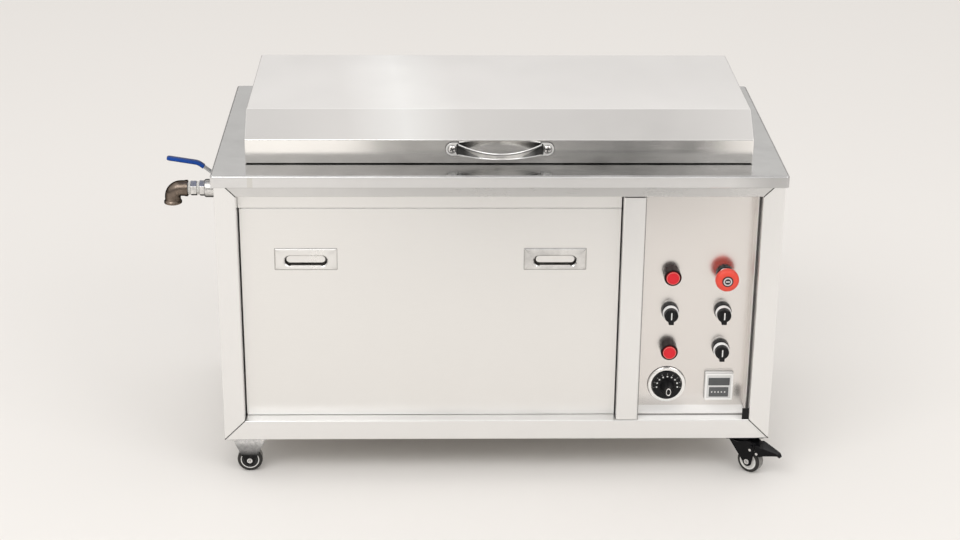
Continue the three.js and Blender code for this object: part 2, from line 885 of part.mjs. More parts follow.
function doorPull(name, side) {
  const plate = prismBack(roundedRectangle(
    -pullWidth / 2, pullWidth / 2, -pullHeight / 2, pullHeight / 2, pullCornerRadius,
  ), -pullSheet, 0);
  const slot = prismBack(
    slotShape(0, -slotDrop, slotWidth, slotHeight), -pullSheet - cutOverrun, cutOverrun,
  );
  const bowl = prismBack(bowlOutline(bowlWall), -pullSheet / 2, bowlDepth);
  const hollow = prismBack(bowlOutline(0), 0, bowlDepth - bowlWall);
  const slotTop = slotHeight / 2 - slotDrop;
  const lip = prismAcross(ribbon([
    [-pullSheet / 2, slotTop + pullSheet / 2],
    [lipSetIn / 2 - pullSheet / 2, slotTop - lipDrop / 2],
    [lipSetIn, slotTop - lipDrop],
    [lipSetIn + lipCurl, slotTop - lipDrop],
  ], bowlWall), lipSideGap - slotWidth / 2, slotWidth / 2 - lipSideGap);
  const pull = piece(name, join(cut(join(plate, bowl), hollow, slot), lip), polishedSteel);
  pull.position.set(doorCentre + side * pullReach, doorRecess - fitGap, pullHeightAboveFloor);
  return pull;
}

// Control panel, a shallow tray with its flanges to the front

const controlLeft = postRight + fitGap;
const controlRight = openingRight - controlSideGap;
const timerReach = timerBodySide / 2 + timerBodyClearance;
const controlRows = [3, 2, 1, 0].map((row) => railTop + rowRise + row * rowPitch);

function controlPanel() {
  const front = controlFace - controlFlange;
  const sheet = tray([
    controlLeft, controlRight, front, controlFace + controlSheet, controlBottom, topRailBottom - fitGap,
  ], controlSheet, 'front');
  const notch = box(
    controlRight - controlNotch, controlRight + cutOverrun, front - cutOverrun, controlFace,
    controlBottom - cutOverrun, controlBottom + controlNotch,
  );
  const [top, upper, lower, foot] = controlRows;
  const hole = (radius, x, z) => turnedForward(
    rod(radius, -controlSheet - cutOverrun, cutOverrun), smallSteps, [x, controlFace, z],
  );
  const holes = [
    [leftColumn, top], [rightColumn, top], [leftColumn, upper], [rightColumn, upper],
    [leftColumn, lower], [rightColumn, lower],
  ].map(([x, z]) => hole(controlHoleRadius, x, z));
  const window = box(
    rightColumn - timerReach, rightColumn + timerReach, controlFace - cutOverrun,
    controlFace + controlSheet + cutOverrun, foot - timerReach, foot + timerReach,
  );
  const shaft = hole(dialHubRadius + fitGap, leftColumn, foot);
  return piece('control_panel', cut(sheet, notch, window, shaft, ...holes), brushedSteel);
}

// A round fitting held in the panel by a lock nut, with its contact block behind

const behindPanel = -controlSheet - fitGap;

function panelFitting(front) {
  const nutBack = behindPanel - lockNutThickness;
  const turned = turnedForward([
    [0, nutBack], [controlBarrelRadius, nutBack], [controlBarrelRadius, fitGap], ...front,
  ], roundSteps);
  const nut = turnedForward(rod(hexRadius(lockNutAcross), nutBack, behindPanel), hexSteps);
  const reach = contactBlockSide / 2;
  const blockFront = lockNutThickness / 2 - behindPanel;
  const block = box(-reach, reach, blockFront, blockFront + contactBlockDepth, -reach, reach);
  return join(turned, nut, block);
}

function placed(mesh, column, row) {
  mesh.position.set(column, controlFace, controlRows[row]);
  return mesh;
}

function buttonBezel(name) {
  const collar = buttonCollarHeight;
  return piece(name, panelFitting([
    [buttonBaseRadius, fitGap], [buttonBaseRadius, buttonBaseHeight],
    [buttonCollarRadius + buttonCapEdge, buttonBaseHeight + buttonCapEdge],
    [buttonCollarRadius, collar - buttonCapEdge], [buttonCollarRadius - buttonCapEdge / 2, collar],
    [buttonBoreRadius, collar], [buttonBoreRadius, collar - buttonBoreDepth],
    [0, collar - buttonBoreDepth],
  ]), blackPlastic);
}

function buttonCap(name) {
  const front = buttonCollarHeight + buttonCapProud;
  return piece(name, turnedForward([
    [0, front - buttonCapLength], [buttonCapRadius, front - buttonCapLength],
    [buttonCapRadius, front - buttonCapEdge], [buttonCapRadius - buttonCapEdge, front], [0, front],
  ], roundSteps), redPlastic);
}

function stopBase() {
  const floor = stopHeadBack - stopStemLength - stopTravel - fitGap;
  const edge = stopHeadEdge;
  return piece('estop_base', panelFitting([
    [stopBaseRadius, fitGap], [stopBaseRadius, stopBaseHeight - edge],
    [stopBaseRadius - edge, stopBaseHeight], [stopNeckRadius, stopBaseHeight],
    [stopNeckRadius, stopNeckHeight], [stopBoreRadius, stopNeckHeight], [stopBoreRadius, floor], [0, floor],
  ]), blackPlastic);
}

function stopHead() {
  const edge = stopHeadEdge;
  return piece('estop_head', turnedForward([
    [0, stopHeadBack - stopStemLength], [stopStemRadius, stopHeadBack - stopStemLength],
    [stopStemRadius, stopHeadBack], [stopHeadRadius - edge, stopHeadBack],
    [stopHeadRadius, stopHeadBack + edge], [stopHeadRadius, stopHeadBack + stopHeadRimHeight],
    [stopHeadRadius - edge, stopHeadFront - edge], [stopFaceRadius, stopHeadFront],
    [stopDiscRadius, stopHeadFront], [stopDiscRadius - stopDiscHeight, stopHeadFront + stopDiscHeight],
    [0, stopHeadFront + stopDiscHeight],
  ], wideSteps), redPlastic);
}

function selectorBezel(name) {
  const floor = selectorRingHeight - selectorBoreDepth;
  const edge = selectorKnobEdge;
  return piece(name, panelFitting([
    [selectorBaseRadius, fitGap], [selectorBaseRadius, selectorBaseHeight - edge],
    [selectorBaseRadius - edge / 2, selectorBaseHeight], [selectorRingRadius, selectorBaseHeight],
    [selectorKnobRadius + edge / 2, selectorRingHeight], [selectorBoreRadius, selectorRingHeight],
    [selectorBoreRadius, floor], [0, floor],
  ]), blackPlastic);
}

function selectorKnob(name) {
  const back = selectorRingHeight + fitGap;
  const stemEnd = selectorRingHeight - selectorBoreDepth + fitGap;
  const disc = turnedForward([
    [0, stemEnd], [selectorStemRadius, stemEnd], [selectorStemRadius, back], [selectorKnobRadius, back],
    [selectorKnobRadius, selectorKnobFront - selectorKnobEdge],
    [selectorKnobRadius - selectorKnobEdge, selectorKnobFront], [0, selectorKnobFront],
  ], roundSteps);
  const barSection = (proud, shrink) => {
    const reachX = selectorBarWidth / 2 - shrink;
    const reachZ = selectorKnobRadius - shrink;
    return [
      [reachX, -proud, -reachZ], [reachX, -proud, reachZ],
      [-reachX, -proud, reachZ], [-reachX, -proud, -reachZ],
    ];
  };
  const bar = lofted([
    barSection(back, selectorBarTaper), barSection(selectorKnobFront, 0),
    barSection(selectorBarFront - selectorBarTaper, 0), barSection(selectorBarFront, selectorBarTaper),
  ]);
  return piece(name, join(disc, bar), blackPlastic);
}

function dialBezel() {
  const back = behindPanel - thermostatDepth;
  const face = dialKnobBack - fitGap;
  const rim = dialBezelHeight;
  const edge = dialBezelEdge;
  const shaftBore = dialStemRadius + dialShaftClearance;
  return piece('dial_bezel', turnedForward([
    [0, back], [thermostatRadius, back], [thermostatRadius, behindPanel], [dialHubRadius, behindPanel],
    [dialHubRadius, fitGap], [dialBezelRadius, fitGap], [dialBezelRadius, rim - edge],
    [dialBezelRadius - edge, rim], [dialBezelInnerRadius + edge, rim],
    [dialBezelInnerRadius, rim - edge], [dialBezelInnerRadius, face], [shaftBore, face],
    [shaftBore, behindPanel - dialStemSeat], [0, behindPanel - dialStemSeat],
  ], wideSteps), polishedSteel);
}

function dialKnob() {
  const edge = dialKnobEdge;
  const shaftEnd = behindPanel - dialStemSeat + fitGap;
  const disc = turnedForward([
    [0, shaftEnd], [dialStemRadius, shaftEnd], [dialStemRadius, dialKnobBack],
    [dialKnobRadius - edge / 2, dialKnobBack], [dialKnobRadius, dialKnobBack + edge / 2],
    [dialKnobRadius, dialKnobFront - edge], [dialKnobRadius - edge, dialKnobFront], [0, dialKnobFront],
  ], wideSteps);
  const rings = [];
  for (let step = 0; step <= dialGripRings; step += 1) {
    const share = step / dialGripRings;
    const swell = (1 - share) ** 2;
    const reachX = dialGripTipWidth / 2 + (dialGripRootRadius - dialGripTipWidth / 2) * swell;
    const reachZ = dialGripTipHeight / 2 + (dialGripRootRadius - dialGripTipHeight / 2) * swell;
    const proud = dialKnobFront - edge + (dialGripFront - dialKnobFront + edge) * share;
    const ring = [];
    for (let i = 0; i < smallSteps; i += 1) {
      const angle = (2 * Math.PI * i) / smallSteps;
      ring.push([reachX * Math.cos(angle), -proud, reachZ * Math.sin(angle)]);
    }
    rings.push(ring);
  }
  return piece('dial_knob', join(disc, lofted(rings)), blackPlastic);
}

function timerCase() {
  const reach = timerSide / 2;
  const section = (proud, shrink) => [
    [reach - shrink, -proud, shrink - reach], [reach - shrink, -proud, reach - shrink],
    [shrink - reach, -proud, reach - shrink], [shrink - reach, -proud, shrink - reach],
  ];
  const front = lofted([
    section(fitGap, 0), section(timerProud - timerEdge, 0), section(timerProud, timerEdge),
  ]);
  const body = timerBodySide / 2;
  const back = box(-body, body, -timerProud / 2, timerBodyDepth, -body, body);
  const windowTop = reach - timerWindowInset;
  const windowBottom = windowTop - timerWindowHeight;
  const keysTop = windowBottom - timerWindowSpacing;
  const recess = (width, bottom, top) => box(
    -width / 2, width / 2, -timerProud - cutOverrun, timerRecess - timerProud, bottom, top,
  );
  return piece('timer_case', cut(
    join(front, back),
    recess(timerWindowWidth, windowBottom, windowTop),
    recess(timerKeysWidth, keysTop - timerKeysHeight, keysTop),
  ), greyPlastic);
}

function controls() {
  const [top, upper, lower, foot] = [0, 1, 2, 3];
  return [
    placed(buttonBezel('upper_button_bezel'), leftColumn, top),
    placed(buttonCap('upper_button_cap'), leftColumn, top),
    placed(stopBase(), rightColumn, top),
    placed(stopHead(), rightColumn, top),
    placed(selectorBezel('left_selector_bezel'), leftColumn, upper),
    placed(selectorKnob('left_selector_knob'), leftColumn, upper),
    placed(selectorBezel('upper_selector_bezel'), rightColumn, upper),
    placed(selectorKnob('upper_selector_knob'), rightColumn, upper),
    placed(buttonBezel('lower_button_bezel'), leftColumn, lower),
    placed(buttonCap('lower_button_cap'), leftColumn, lower),
    placed(selectorBezel('lower_selector_bezel'), rightColumn, lower),
    placed(selectorKnob('lower_selector_knob'), rightColumn, lower),
    placed(dialBezel(), leftColumn, foot),
    placed(dialKnob(), leftColumn, foot),
    placed(timerCase(), rightColumn, foot),
  ];
}

// Drain line: nipple, ball valve, hex nipple and elbow, all on one axis to the left

const valveStart = halfWidth + valveInnerEnd;
const valveEnd = valveStart + valveLength;
const valveMiddle = (valveStart + valveEnd) / 2;
const hexStart = valveEnd + threadShow;
const hexEnd = hexStart + hexNippleLength;
const elbowFace = hexEnd + threadShow;

function drainNipple() {
  const wall = tankLength / 2 + tankWall + fitGap;
  const end = valveStart + valveSocketDepth - fitGap;
  return piece('drain_nipple', turnedLeft([
    [pipeBoreRadius, tankLength / 2], [pipeRadius, tankLength / 2], [pipeRadius, wall],
    [pipeCollarRadius, wall], [pipeCollarRadius, wall + pipeCollarLength],
    [pipeRadius, wall + pipeCollarLength], [pipeRadius, end], [pipeBoreRadius, end],
    [pipeBoreRadius, tankLength / 2],
  ], roundSteps), zincSteel);
}

function valveBody() {
  const innerHex = valveStart + valveHexLength;
  const outerHex = valveEnd - valveHexLength;
  const hex = (from, to) => turnedLeft(rod(hexRadius(valveHexAcross), from, to), hexSteps);
  const barrel = turnedLeft([
    [0, innerHex - valveBarrelEdge], [valveBarrelRadius - valveBarrelEdge, innerHex - valveBarrelEdge],
    [valveBarrelRadius, innerHex], [valveBarrelRadius, outerHex],
    [valveBarrelRadius - valveBarrelEdge, outerHex + valveBarrelEdge], [0, outerHex + valveBarrelEdge],
  ], roundSteps);
  const socket = (from, to) => turnedLeft(rod(pipeRadius + fitGap, from, to), roundSteps);
  const bore = turnedLeft(rod(valveBoreRadius, valveStart, valveEnd), roundSteps);
  const centre = [-valveMiddle, 0, 0];
  const collar = turnedUp(rod(stemCollarRadius, 0, stemCollarRise), smallSteps, centre);
  const seat = turnedUp(
    rod(stemRadius + fitGap, stemCollarRise - stemSeat, stemCollarRise + cutOverrun),
    smallSteps, centre,
  );
  return piece('valve_body', cut(
    join(barrel, hex(valveStart, innerHex), hex(outerHex, valveEnd), collar),
    socket(valveStart - cutOverrun, valveStart + valveSocketDepth),
    socket(valveEnd - valveSocketDepth, valveEnd + cutOverrun),
    bore, seat,
  ), polishedSteel);
}

function hexNipple() {
  const start = valveEnd - valveSocketDepth + fitGap;
  const end = elbowFace + elbowSocketDepth - fitGap;
  const tube = turnedLeft([
    [nippleBoreRadius, start], [pipeRadius, start], [pipeRadius, end], [nippleBoreRadius, end],
    [nippleBoreRadius, start],
  ], roundSteps);
  const hex = turnedLeft([
    [nippleBoreRadius, hexStart], [hexRadius(hexNippleAcross), hexStart],
    [hexRadius(hexNippleAcross), hexEnd], [nippleBoreRadius, hexEnd], [nippleBoreRadius, hexStart],
  ], hexSteps);
  return piece('hex_nipple', join(tube, hex), zincSteel);
}

// A ring round the elbow's centre line: turn goes from the inlet at 0 to the mouth at 90 degrees
function elbowRing(turnDegrees, straight, radius) {
  const turn = THREE.MathUtils.degToRad(turnDegrees);
  const [s, c] = [Math.sin(turn), Math.cos(turn)];
  const centreX = elbowBend * (1 - s) + straight * c;
  const centreZ = -elbowBend * (1 - c) - straight * s;
  const ring = [];
  for (let i = 0; i < roundSteps; i += 1) {
    const angle = (2 * Math.PI * i) / roundSteps;
    const outward = radius * Math.cos(angle);
    ring.push([centreX - outward * s, radius * Math.sin(angle), centreZ + outward * c]);
  }
  return ring;
}

function drainElbow() {
  const inlet = elbowReach - elbowBend;
  const outlet = elbowDrop - elbowBend;
  const arc = (radius) => {
    const rings = [];
    for (let step = 0; step <= elbowSteps; step += 1) {
      rings.push(elbowRing((90 * step) / elbowSteps, 0, radius));
    }
    return rings;
  };
  const outer = lofted([
    elbowRing(0, inlet, elbowInletRadius), elbowRing(0, inlet - elbowBeadLength, elbowInletRadius),
    elbowRing(0, inlet - elbowBeadLength - elbowBeadStep, elbowBodyRadius),
    ...arc(elbowBodyRadius),
    elbowRing(90, outlet - elbowBeadLength - elbowBeadStep, elbowBodyRadius),
    elbowRing(90, outlet - elbowBeadLength, elbowBeadRadius - elbowBeadStep / 2),
    elbowRing(90, outlet - elbowBeadLength / 2, elbowBeadRadius),
    elbowRing(90, outlet, elbowBeadRadius - elbowBeadStep / 2),
  ]);
  const inner = lofted([
    elbowRing(0, inlet + cutOverrun, pipeRadius + fitGap),
    elbowRing(0, inlet - elbowSocketDepth, pipeRadius + fitGap),
    elbowRing(0, inlet - elbowSocketDepth, elbowBoreRadius),
    ...arc(elbowBoreRadius).slice(1),
    elbowRing(90, outlet + cutOverrun, elbowBoreRadius),
  ]);
  const elbow = piece('drain_elbow', cut(outer, inner), bronzeIron);
  elbow.position.x = -elbowFace - elbowReach;
  return elbow;
}

// Valve lever with its stem and nut, and the dipped sleeve on its end

const leverRoute = [
  [0, leverHubRise + leverSheet / 2],
  [-leverKinkReach, leverHubRise + leverSheet / 2],
  [-leverKinkEnd, leverHubRise + leverSheet / 2 + leverKinkRise],
  [-leverReach, leverHubRise + leverSheet / 2 + leverTipRise],
];

function valveLever() {
  const strip = prismBack(ribbon(leverRoute, leverSheet), -leverWidth / 2, leverWidth / 2);
  const top = leverHubRise + leverSheet;
  const hub = turnedUp(rod(leverHubRadius, leverHubRise, top), smallSteps);
  const stem = turnedUp(
    rod(stemRadius, stemCollarRise - stemSeat + fitGap, top + stemNutHeight + fitGap), smallSteps,
  );
  const nut = turnedUp(rod(hexRadius(stemNutAcross), leverHubRise, top + stemNutHeight), hexSteps);
  return piece('valve_lever', join(strip, hub, stem, nut), zincSteel);
}

function leverSleeve() {
  const [, kinkStart, kinkEnd, tip] = leverRoute.map(([x, z]) => new THREE.Vector2(x, z));
  const slope = kinkEnd.clone().sub(kinkStart).normalize();
  const along = tip.clone().sub(kinkEnd).normalize();
  const open = kinkEnd.clone().addScaledVector(slope, -sleeveKinkLap);
  const end = tip.clone().addScaledVector(along, fitGap + sleeveWall);
  const reach = leverWidth / 2 + fitGap + sleeveWall;
  const half = leverSheet / 2 + fitGap + sleeveWall;
  const section = (place, direction, shrink) => {
    const up = new THREE.Vector2(-direction.y, direction.x).negate();
    const corner = (across, rise) => [place.x + up.x * rise, across, place.y + up.y * rise];
    const [wide, tall, edge] = [reach - shrink, half - shrink, sleeveEdge];
    return [
      corner(wide, edge - tall), corner(wide, tall - edge), corner(wide - edge, tall),
      corner(edge - wide, tall), corner(-wide, tall - edge), corner(-wide, edge - tall),
      corner(edge - wide, -tall), corner(wide - edge, -tall),
    ];
  };
  const round = end.clone().addScaledVector(along, -sleeveEdge);
  const middle = slope.clone().add(along).normalize();
  const outer = lofted([
    section(open, slope, 0), section(kinkEnd, middle, 0), section(round, along, 0),
    section(end, along, sleeveEdge),
  ]);
  const far = tip.clone().addScaledVector(along, fitGap);
  const hollow = prismBack(
    ribbon([kinkStart, kinkEnd, far].map((place) => place.toArray()), leverSheet + 2 * fitGap),
    -leverWidth / 2 - fitGap, leverWidth / 2 + fitGap,
  );
  return piece('lever_sleeve', cut(outer, hollow), bluePlastic);
}

function drainLine() {
  const line = new THREE.Group();
  line.position.set(0, drainSetback, drainHeight);
  const handle = new THREE.Group();
  handle.position.x = -valveMiddle;
  handle.add(valveLever(), leverSleeve());
  line.add(drainNipple(), valveBody(), hexNipple(), drainElbow(), handle);
  return line;
}

// Lid

// The same convex outline with every edge moved inwards
function shrunk(points, by) {
  const places = points.map(([x, y]) => new THREE.Vector2(x, y));
  const count = places.length;
  return places.map((place, i) => {
    const before = place.clone().sub(places[(i + count - 1) % count]).normalize();
    const after = places[(i + 1) % count].clone().sub(place).normalize();
    const inward = new THREE.Vector2(-before.y - after.y, before.x + after.x).normalize();
    const spread = by / inward.dot(new THREE.Vector2(-before.y, before.x));
    return place.addScaledVector(inward, spread).toArray();
  });
}

const lidOutline = [
  [lidSetback, lidBottom],
  [lidBack, lidBottom],
  [lidBack, lidTop],
  [lidSetback + lidSlopeRun, lidTop],
  [lidSetback, lidBottom + lidFasciaHeight],
];

function lidShell() {
  const reach = lidWidth / 2;
  const [front, back, ...rest] = shrunk(lidOutline, lidSheet);
  const mouth = [[front[0], lidBottom - cutOverrun], [back[0], lidBottom - cutOverrun], ...rest];
  const outer = prismAcross(outline(lidOutline), -reach, reach);
  const inner = prismAcross(outline(mouth), lidSheet - reach, reach - lidSheet);
  return piece('lid_shell', cut(outer, inner), brushedSteel);
}

function lidHandle() {
  const half = handleSpan / 2 - footWidth / 2;
  const bowHalf = half + bowSheet;
  const rings = [];
  for (let step = 0; step <= bowSteps; step += 1) {
    const share = (2 * step) / bowSteps - 1;
    const along = new THREE.Vector2(bowHalf, 2 * bowReach * share).normalize();
    const proud = footSheet / 2 + (bowReach - footSheet) * (1 - share * share);
    const rise = (bowWaistHeight + (bowRootHeight - bowWaistHeight) * share * share) / 2;
    const corner = (offset, z) => [
      bowHalf * share - along.y * offset, along.x * offset - proud, z,
    ];
    rings.push([
      corner(-bowSheet / 2, -rise), corner(bowSheet / 2, -rise),
      corner(bowSheet / 2, rise), corner(-bowSheet / 2, rise),
    ]);
  }
  const foot = (side) => {
    const radius = footHeight / 2;
    const inner = side * half;
    const centre = side * (half + footWidth - radius);
    const points = [[inner, -radius], [inner, radius]];
    for (let i = 0; i <= 4 * cornerSteps; i += 1) {
      const angle = Math.PI / 2 - (Math.PI * i) / (4 * cornerSteps);
      points.push([centre + side * radius * Math.cos(angle), radius * Math.sin(angle)]);
    }
    return prismBack(outline(points), -footSheet, 0);
  };
  const handle = piece('lid_handle', join(lofted(rings), foot(-1), foot(1)), polishedSteel);
  handle.position.set(0, lidSetback - fitGap, lidBottom + handleRise);
  return handle;
}

// Continuous hinge: fixed leaf and knuckles carry the pin, moving ones turn on it

const hingeAxisY = lidBack + fitGap + knuckleRadius;
const hingeAxisZ = deckTop + fitGap + knuckleRadius;
const hingeLength = lidWidth - 2 * hingeInset;
const knucklePitch = (hingeLength + fitGap) / hingeKnuckles;

function hingeHalf(name, fixed) {
  const half = hingeLength / 2;
  const clear = knuckleRadius + fitGap;
  const leafEnd = knuckleRadius + hingeLeafWidth;
  const near = -knuckleRadius;
  const face = near + hingeLeafSheet;
  const plate = (x0, x1, from, to) => (
    fixed ? box(x0, x1, from, to, near, face) : box(x0, x1, near, face, from, to)
  );
  const solids = [plate(-half, half, clear, leafEnd)];
  for (let i = fixed ? 0 : 1; i < hingeKnuckles; i += 2) {
    const x0 = i * knucklePitch - half;
    const x1 = x0 + knucklePitch - fitGap;
    solids.push(turnedLeft(rod(knuckleRadius, -x1, -x0), pinSteps));
    solids.push(plate(x0, x1, 0, clear + hingeLeafSheet));
  }
  const pin = turnedLeft(rod(hingePinRadius, -half, half), pinSteps);
  const boreRadius = hingePinRadius + fitGap;
  const bore = turnedLeft(rod(boreRadius, -half - cutOverrun, half + cutOverrun), pinSteps);
  const whole = join(...solids);
  const leaf = piece(name, fixed ? join(whole, pin) : cut(whole, bore), brushedSteel);
  leaf.position.set(0, hingeAxisY, hingeAxisZ);
  return leaf;
}

// Casters

const casterPlateTop = frameBottom - fitGap;
const casterPlateBottom = casterPlateTop - casterPlateSheet;

function arc(centreX, centreY, radius, fromDegrees, toDegrees) {
  const points = [];
  const steps = 3 * cornerSteps;
  for (let i = 0; i <= steps; i += 1) {
    const turn = THREE.MathUtils.degToRad(THREE.MathUtils.lerp(fromDegrees, toDegrees, i / steps));
    points.push([centreX + radius * Math.cos(turn), centreY + radius * Math.sin(turn)]);
  }
  return points;
}

function wheel(name) {
  const half = wheelWidth / 2;
  const bore = axleRadius + fitGap;
  const side = [
    [bore, half], [hubRadius, half], [hubRadius, half - rimRecess], [rimRadius, half - rimRecess],
    [wheelRadius - tyreEdge, half], [wheelRadius, half - tyreEdge],
  ];
  const otherSide = side.map(([radius, height]) => [radius, -height]).reverse();
  return piece(name, turnedForward([...side, ...otherSide, [bore, half]], wheelSteps), blackRubber);
}

function crossPin(radius, reach, x, z, steps) {
  return turnedForward(rod(radius, -reach, reach), steps, [x, 0, z]);
}

function legs(points) {
  const [near, far] = [legReach, legReach + legSheet];
  return join(prismBack(outline(points), near, far), prismBack(outline(points), -far, -near));
}

function axle(x) {
  const outside = legReach + legSheet + axleHeadLength;
  const head = (from, to) => turnedForward(
    rod(axleHeadRadius, from, to), pinSteps, [x, 0, wheelRadius],
  );
  return join(
    crossPin(axleRadius, outside, x, wheelRadius, pinSteps),
    head(legReach + legSheet / 2, outside), head(-outside, -legReach - legSheet / 2),
  );
}

function casterPlate() {
  return box(
    -casterPlateLength / 2, casterPlateLength / 2, -casterPlateWidth / 2, casterPlateWidth / 2,
    casterPlateBottom, casterPlateTop,
  );
}

function rigidCaster(place, y) {
  const reach = rigidLegTopLength / 2;
  const top = casterPlateBottom + casterPlateSheet / 2;
  const leg = [[-reach, top], ...arc(0, wheelRadius, legEndRadius, 195, 345), [reach, top]];
  const fork = join(casterPlate(), legs(leg), axle(0));
  const roller = wheel(`wheel_${place}`);
  roller.position.z = wheelRadius;
  const caster = new THREE.Group();
  caster.position.set(casterInsetX - halfWidth, y, 0);
  caster.add(piece(`rigid_fork_${place}`, fork, zincSteel), roller);
  return caster;
}

const raceBottom = casterPlateBottom - raceHeight;
const crownTop = raceBottom - fitGap;
const crownBottom = crownTop - crownSheet;

function swivelPlate(name) {
  const turned = turnedUp([
    [0, casterPlateBottom + casterPlateSheet / 2], [raceRadius, casterPlateBottom + casterPlateSheet / 2],
    [raceRadius, raceBottom], [kingPinRadius, raceBottom],
    [kingPinRadius, crownBottom - fitGap], [kingPinHeadRadius, crownBottom - fitGap],
    [kingPinHeadRadius, crownBottom - fitGap - kingPinHeadHeight],
    [0, crownBottom - fitGap - kingPinHeadHeight],
  ], roundSteps);
  return piece(name, join(casterPlate(), turned), blackSteel);
}

function swivelFork(name) {
  const crown = turnedUp([
    [kingPinRadius + fitGap, crownBottom], [crownRadius, crownBottom], [crownRadius, crownTop],
    [kingPinRadius + fitGap, crownTop], [kingPinRadius + fitGap, crownBottom],
  ], roundSteps);
  const reach = crownLegLength / 2;
  const leg = [
    [-reach, crownTop], [-reach, crownTop - crownLegDrop],
    ...arc(casterTrail, wheelRadius, legEndRadius, 190, 350),
    ...arc(pedalPinReach, pedalPinRise, pedalEarRadius, -20, 70),
    [reach, crownTop],
  ];
  const pin = crossPin(pedalPinRadius, pedalPinEnd, pedalPinReach, pedalPinRise, pinSteps);
  return piece(name, join(crown, legs(leg), axle(casterTrail), pin), blackSteel);
}

function turnedAbout([pivotX, pivotY], [x, y], degrees) {
  const pivot = new THREE.Vector2(pivotX, pivotY);
  return new THREE.Vector2(x, y).rotateAround(pivot, THREE.MathUtils.degToRad(degrees)).toArray();
}

function brakePedal(name) {
  const reach = legReach - fitGap;
  const bore = pedalPinRadius + fitGap;
  const hub = turnedForward([
    [bore, -reach], [pedalHubRadius, -reach], [pedalHubRadius, reach], [bore, reach], [bore, -reach],
  ], smallSteps, [pedalPinReach, 0, pedalPinRise]);
  const root = [pedalRootReach, pedalRootRise];
  const tip = [pedalTipReach, pedalTipRise];
  const strip = prismBack(ribbon([
    root, tip, [pedalTipReach + pedalSheet / 2, pedalTipRise - pedalTipDrop],
  ], pedalSheet), -pedalTipWidth, pedalTipWidth);
  const wing = pedalWingWidth / 2;
  const end = pedalTipWidth / 2;
  const plan = [
    [pedalRootReach - pedalSheet, -reach], [pedalWingReach - pedalSheet, -reach],
    [pedalWingReach, -wing], [pedalTipReach + pedalTipDrop, -end],
  ];
  const mirrored = plan.map(([x, y]) => [x, -y]).reverse();
  const plate = strip.intersect(prismUp(outline([...plan, ...mirrored]), 0, crownTop + crownSheet));
  const contact = THREE.MathUtils.degToRad(shoeContactDegrees);
  const distance = wheelRadius + shoeRadius + fitGap;
  const pressed = [
    casterTrail + distance * Math.cos(contact), wheelRadius + distance * Math.sin(contact),
  ];
  const [shoeX, shoeZ] = turnedAbout([pedalPinReach, pedalPinRise], pressed, pedalSwingDegrees);
  const slope = (pedalTipRise - pedalRootRise) / (pedalTipReach - pedalRootReach);
  const plateZ = pedalRootRise + slope * (shoeX - pedalRootReach);
  const shoe = crossPin(shoeRadius, shoeWidth / 2, shoeX, shoeZ, pinSteps);
  const web = prismBack(
    ribbon([[shoeX, shoeZ], [shoeX, plateZ]], shoeWebSheet), -shoeWidth / 2, shoeWidth / 2,
  );
  return piece(name, join(plate, hub, shoe, web), blackSteel);
}

function swivelCaster(place, y) {
  const turning = new THREE.Group();
  const roller = wheel(`wheel_${place}`);
  roller.position.set(casterTrail, 0, wheelRadius);
  turning.add(swivelFork(`swivel_fork_${place}`), roller, brakePedal(`brake_pedal_${place}`));
  turning.rotation.z = THREE.MathUtils.degToRad(casterTurnDegrees);
  const caster = new THREE.Group();
  caster.position.set(halfWidth - casterInsetX, y, 0);
  caster.add(swivelPlate(`caster_plate_${place}`), turning);
  return caster;
}

// The whole cleaner, with the middle of its footprint over the origin and its wheels on zero

const lid = new THREE.Group();
lid.add(lidShell(), lidHandle(), hingeHalf('hinge_moving_leaf', false));

const door = new THREE.Group();
door.add(doorPanel(), doorPull('left_pull', -1), doorPull('right_pull', 1));

const cleaner = new THREE.Group();
cleaner.add(
  ...frontFrame(), rearPost('rear_left_post', -1), rearPost('rear_right_post', 1), rearBottomRail(),
  leftSidePanel(), rightSidePanel(), rearPanel(), floorPan(), cableGland(),
  deck(), tank(), transducerPlate(), heaterPad(), generatorCase(),
  doorHeader(), door, controlPanel(), ...controls(), drainLine(),
  hingeHalf('hinge_fixed_leaf', true), lid,
  rigidCaster('front_left', casterInsetY), rigidCaster('rear_left', bodyDepth - casterInsetY),
  swivelCaster('front_right', casterInsetY), swivelCaster('rear_right', bodyDepth - casterInsetY),
);

const extent = new THREE.Box3().setFromObject(cleaner, true);
const middle = extent.getCenter(new THREE.Vector3());
cleaner.position.set(-middle.x, -middle.y, -extent.min.z);

const group = new THREE.Group();
group.add(cleaner);

export default group;
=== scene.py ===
"""Industrial ultrasonic cleaner: the finished look of a stainless cabinet on casters.

Every piece is modelled in millimetres in the cabinet's own frame: x = 0 in the middle of the
cabinet, y = 0 on the face of the front frame, z = 0 on the floor. TO_ROW brings a finished mesh
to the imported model's frame in metres.
"""

import math
import bmesh
import bpy
from bpy.props import FloatProperty, FloatVectorProperty, IntProperty, PointerProperty
from mathutils import Matrix, Vector


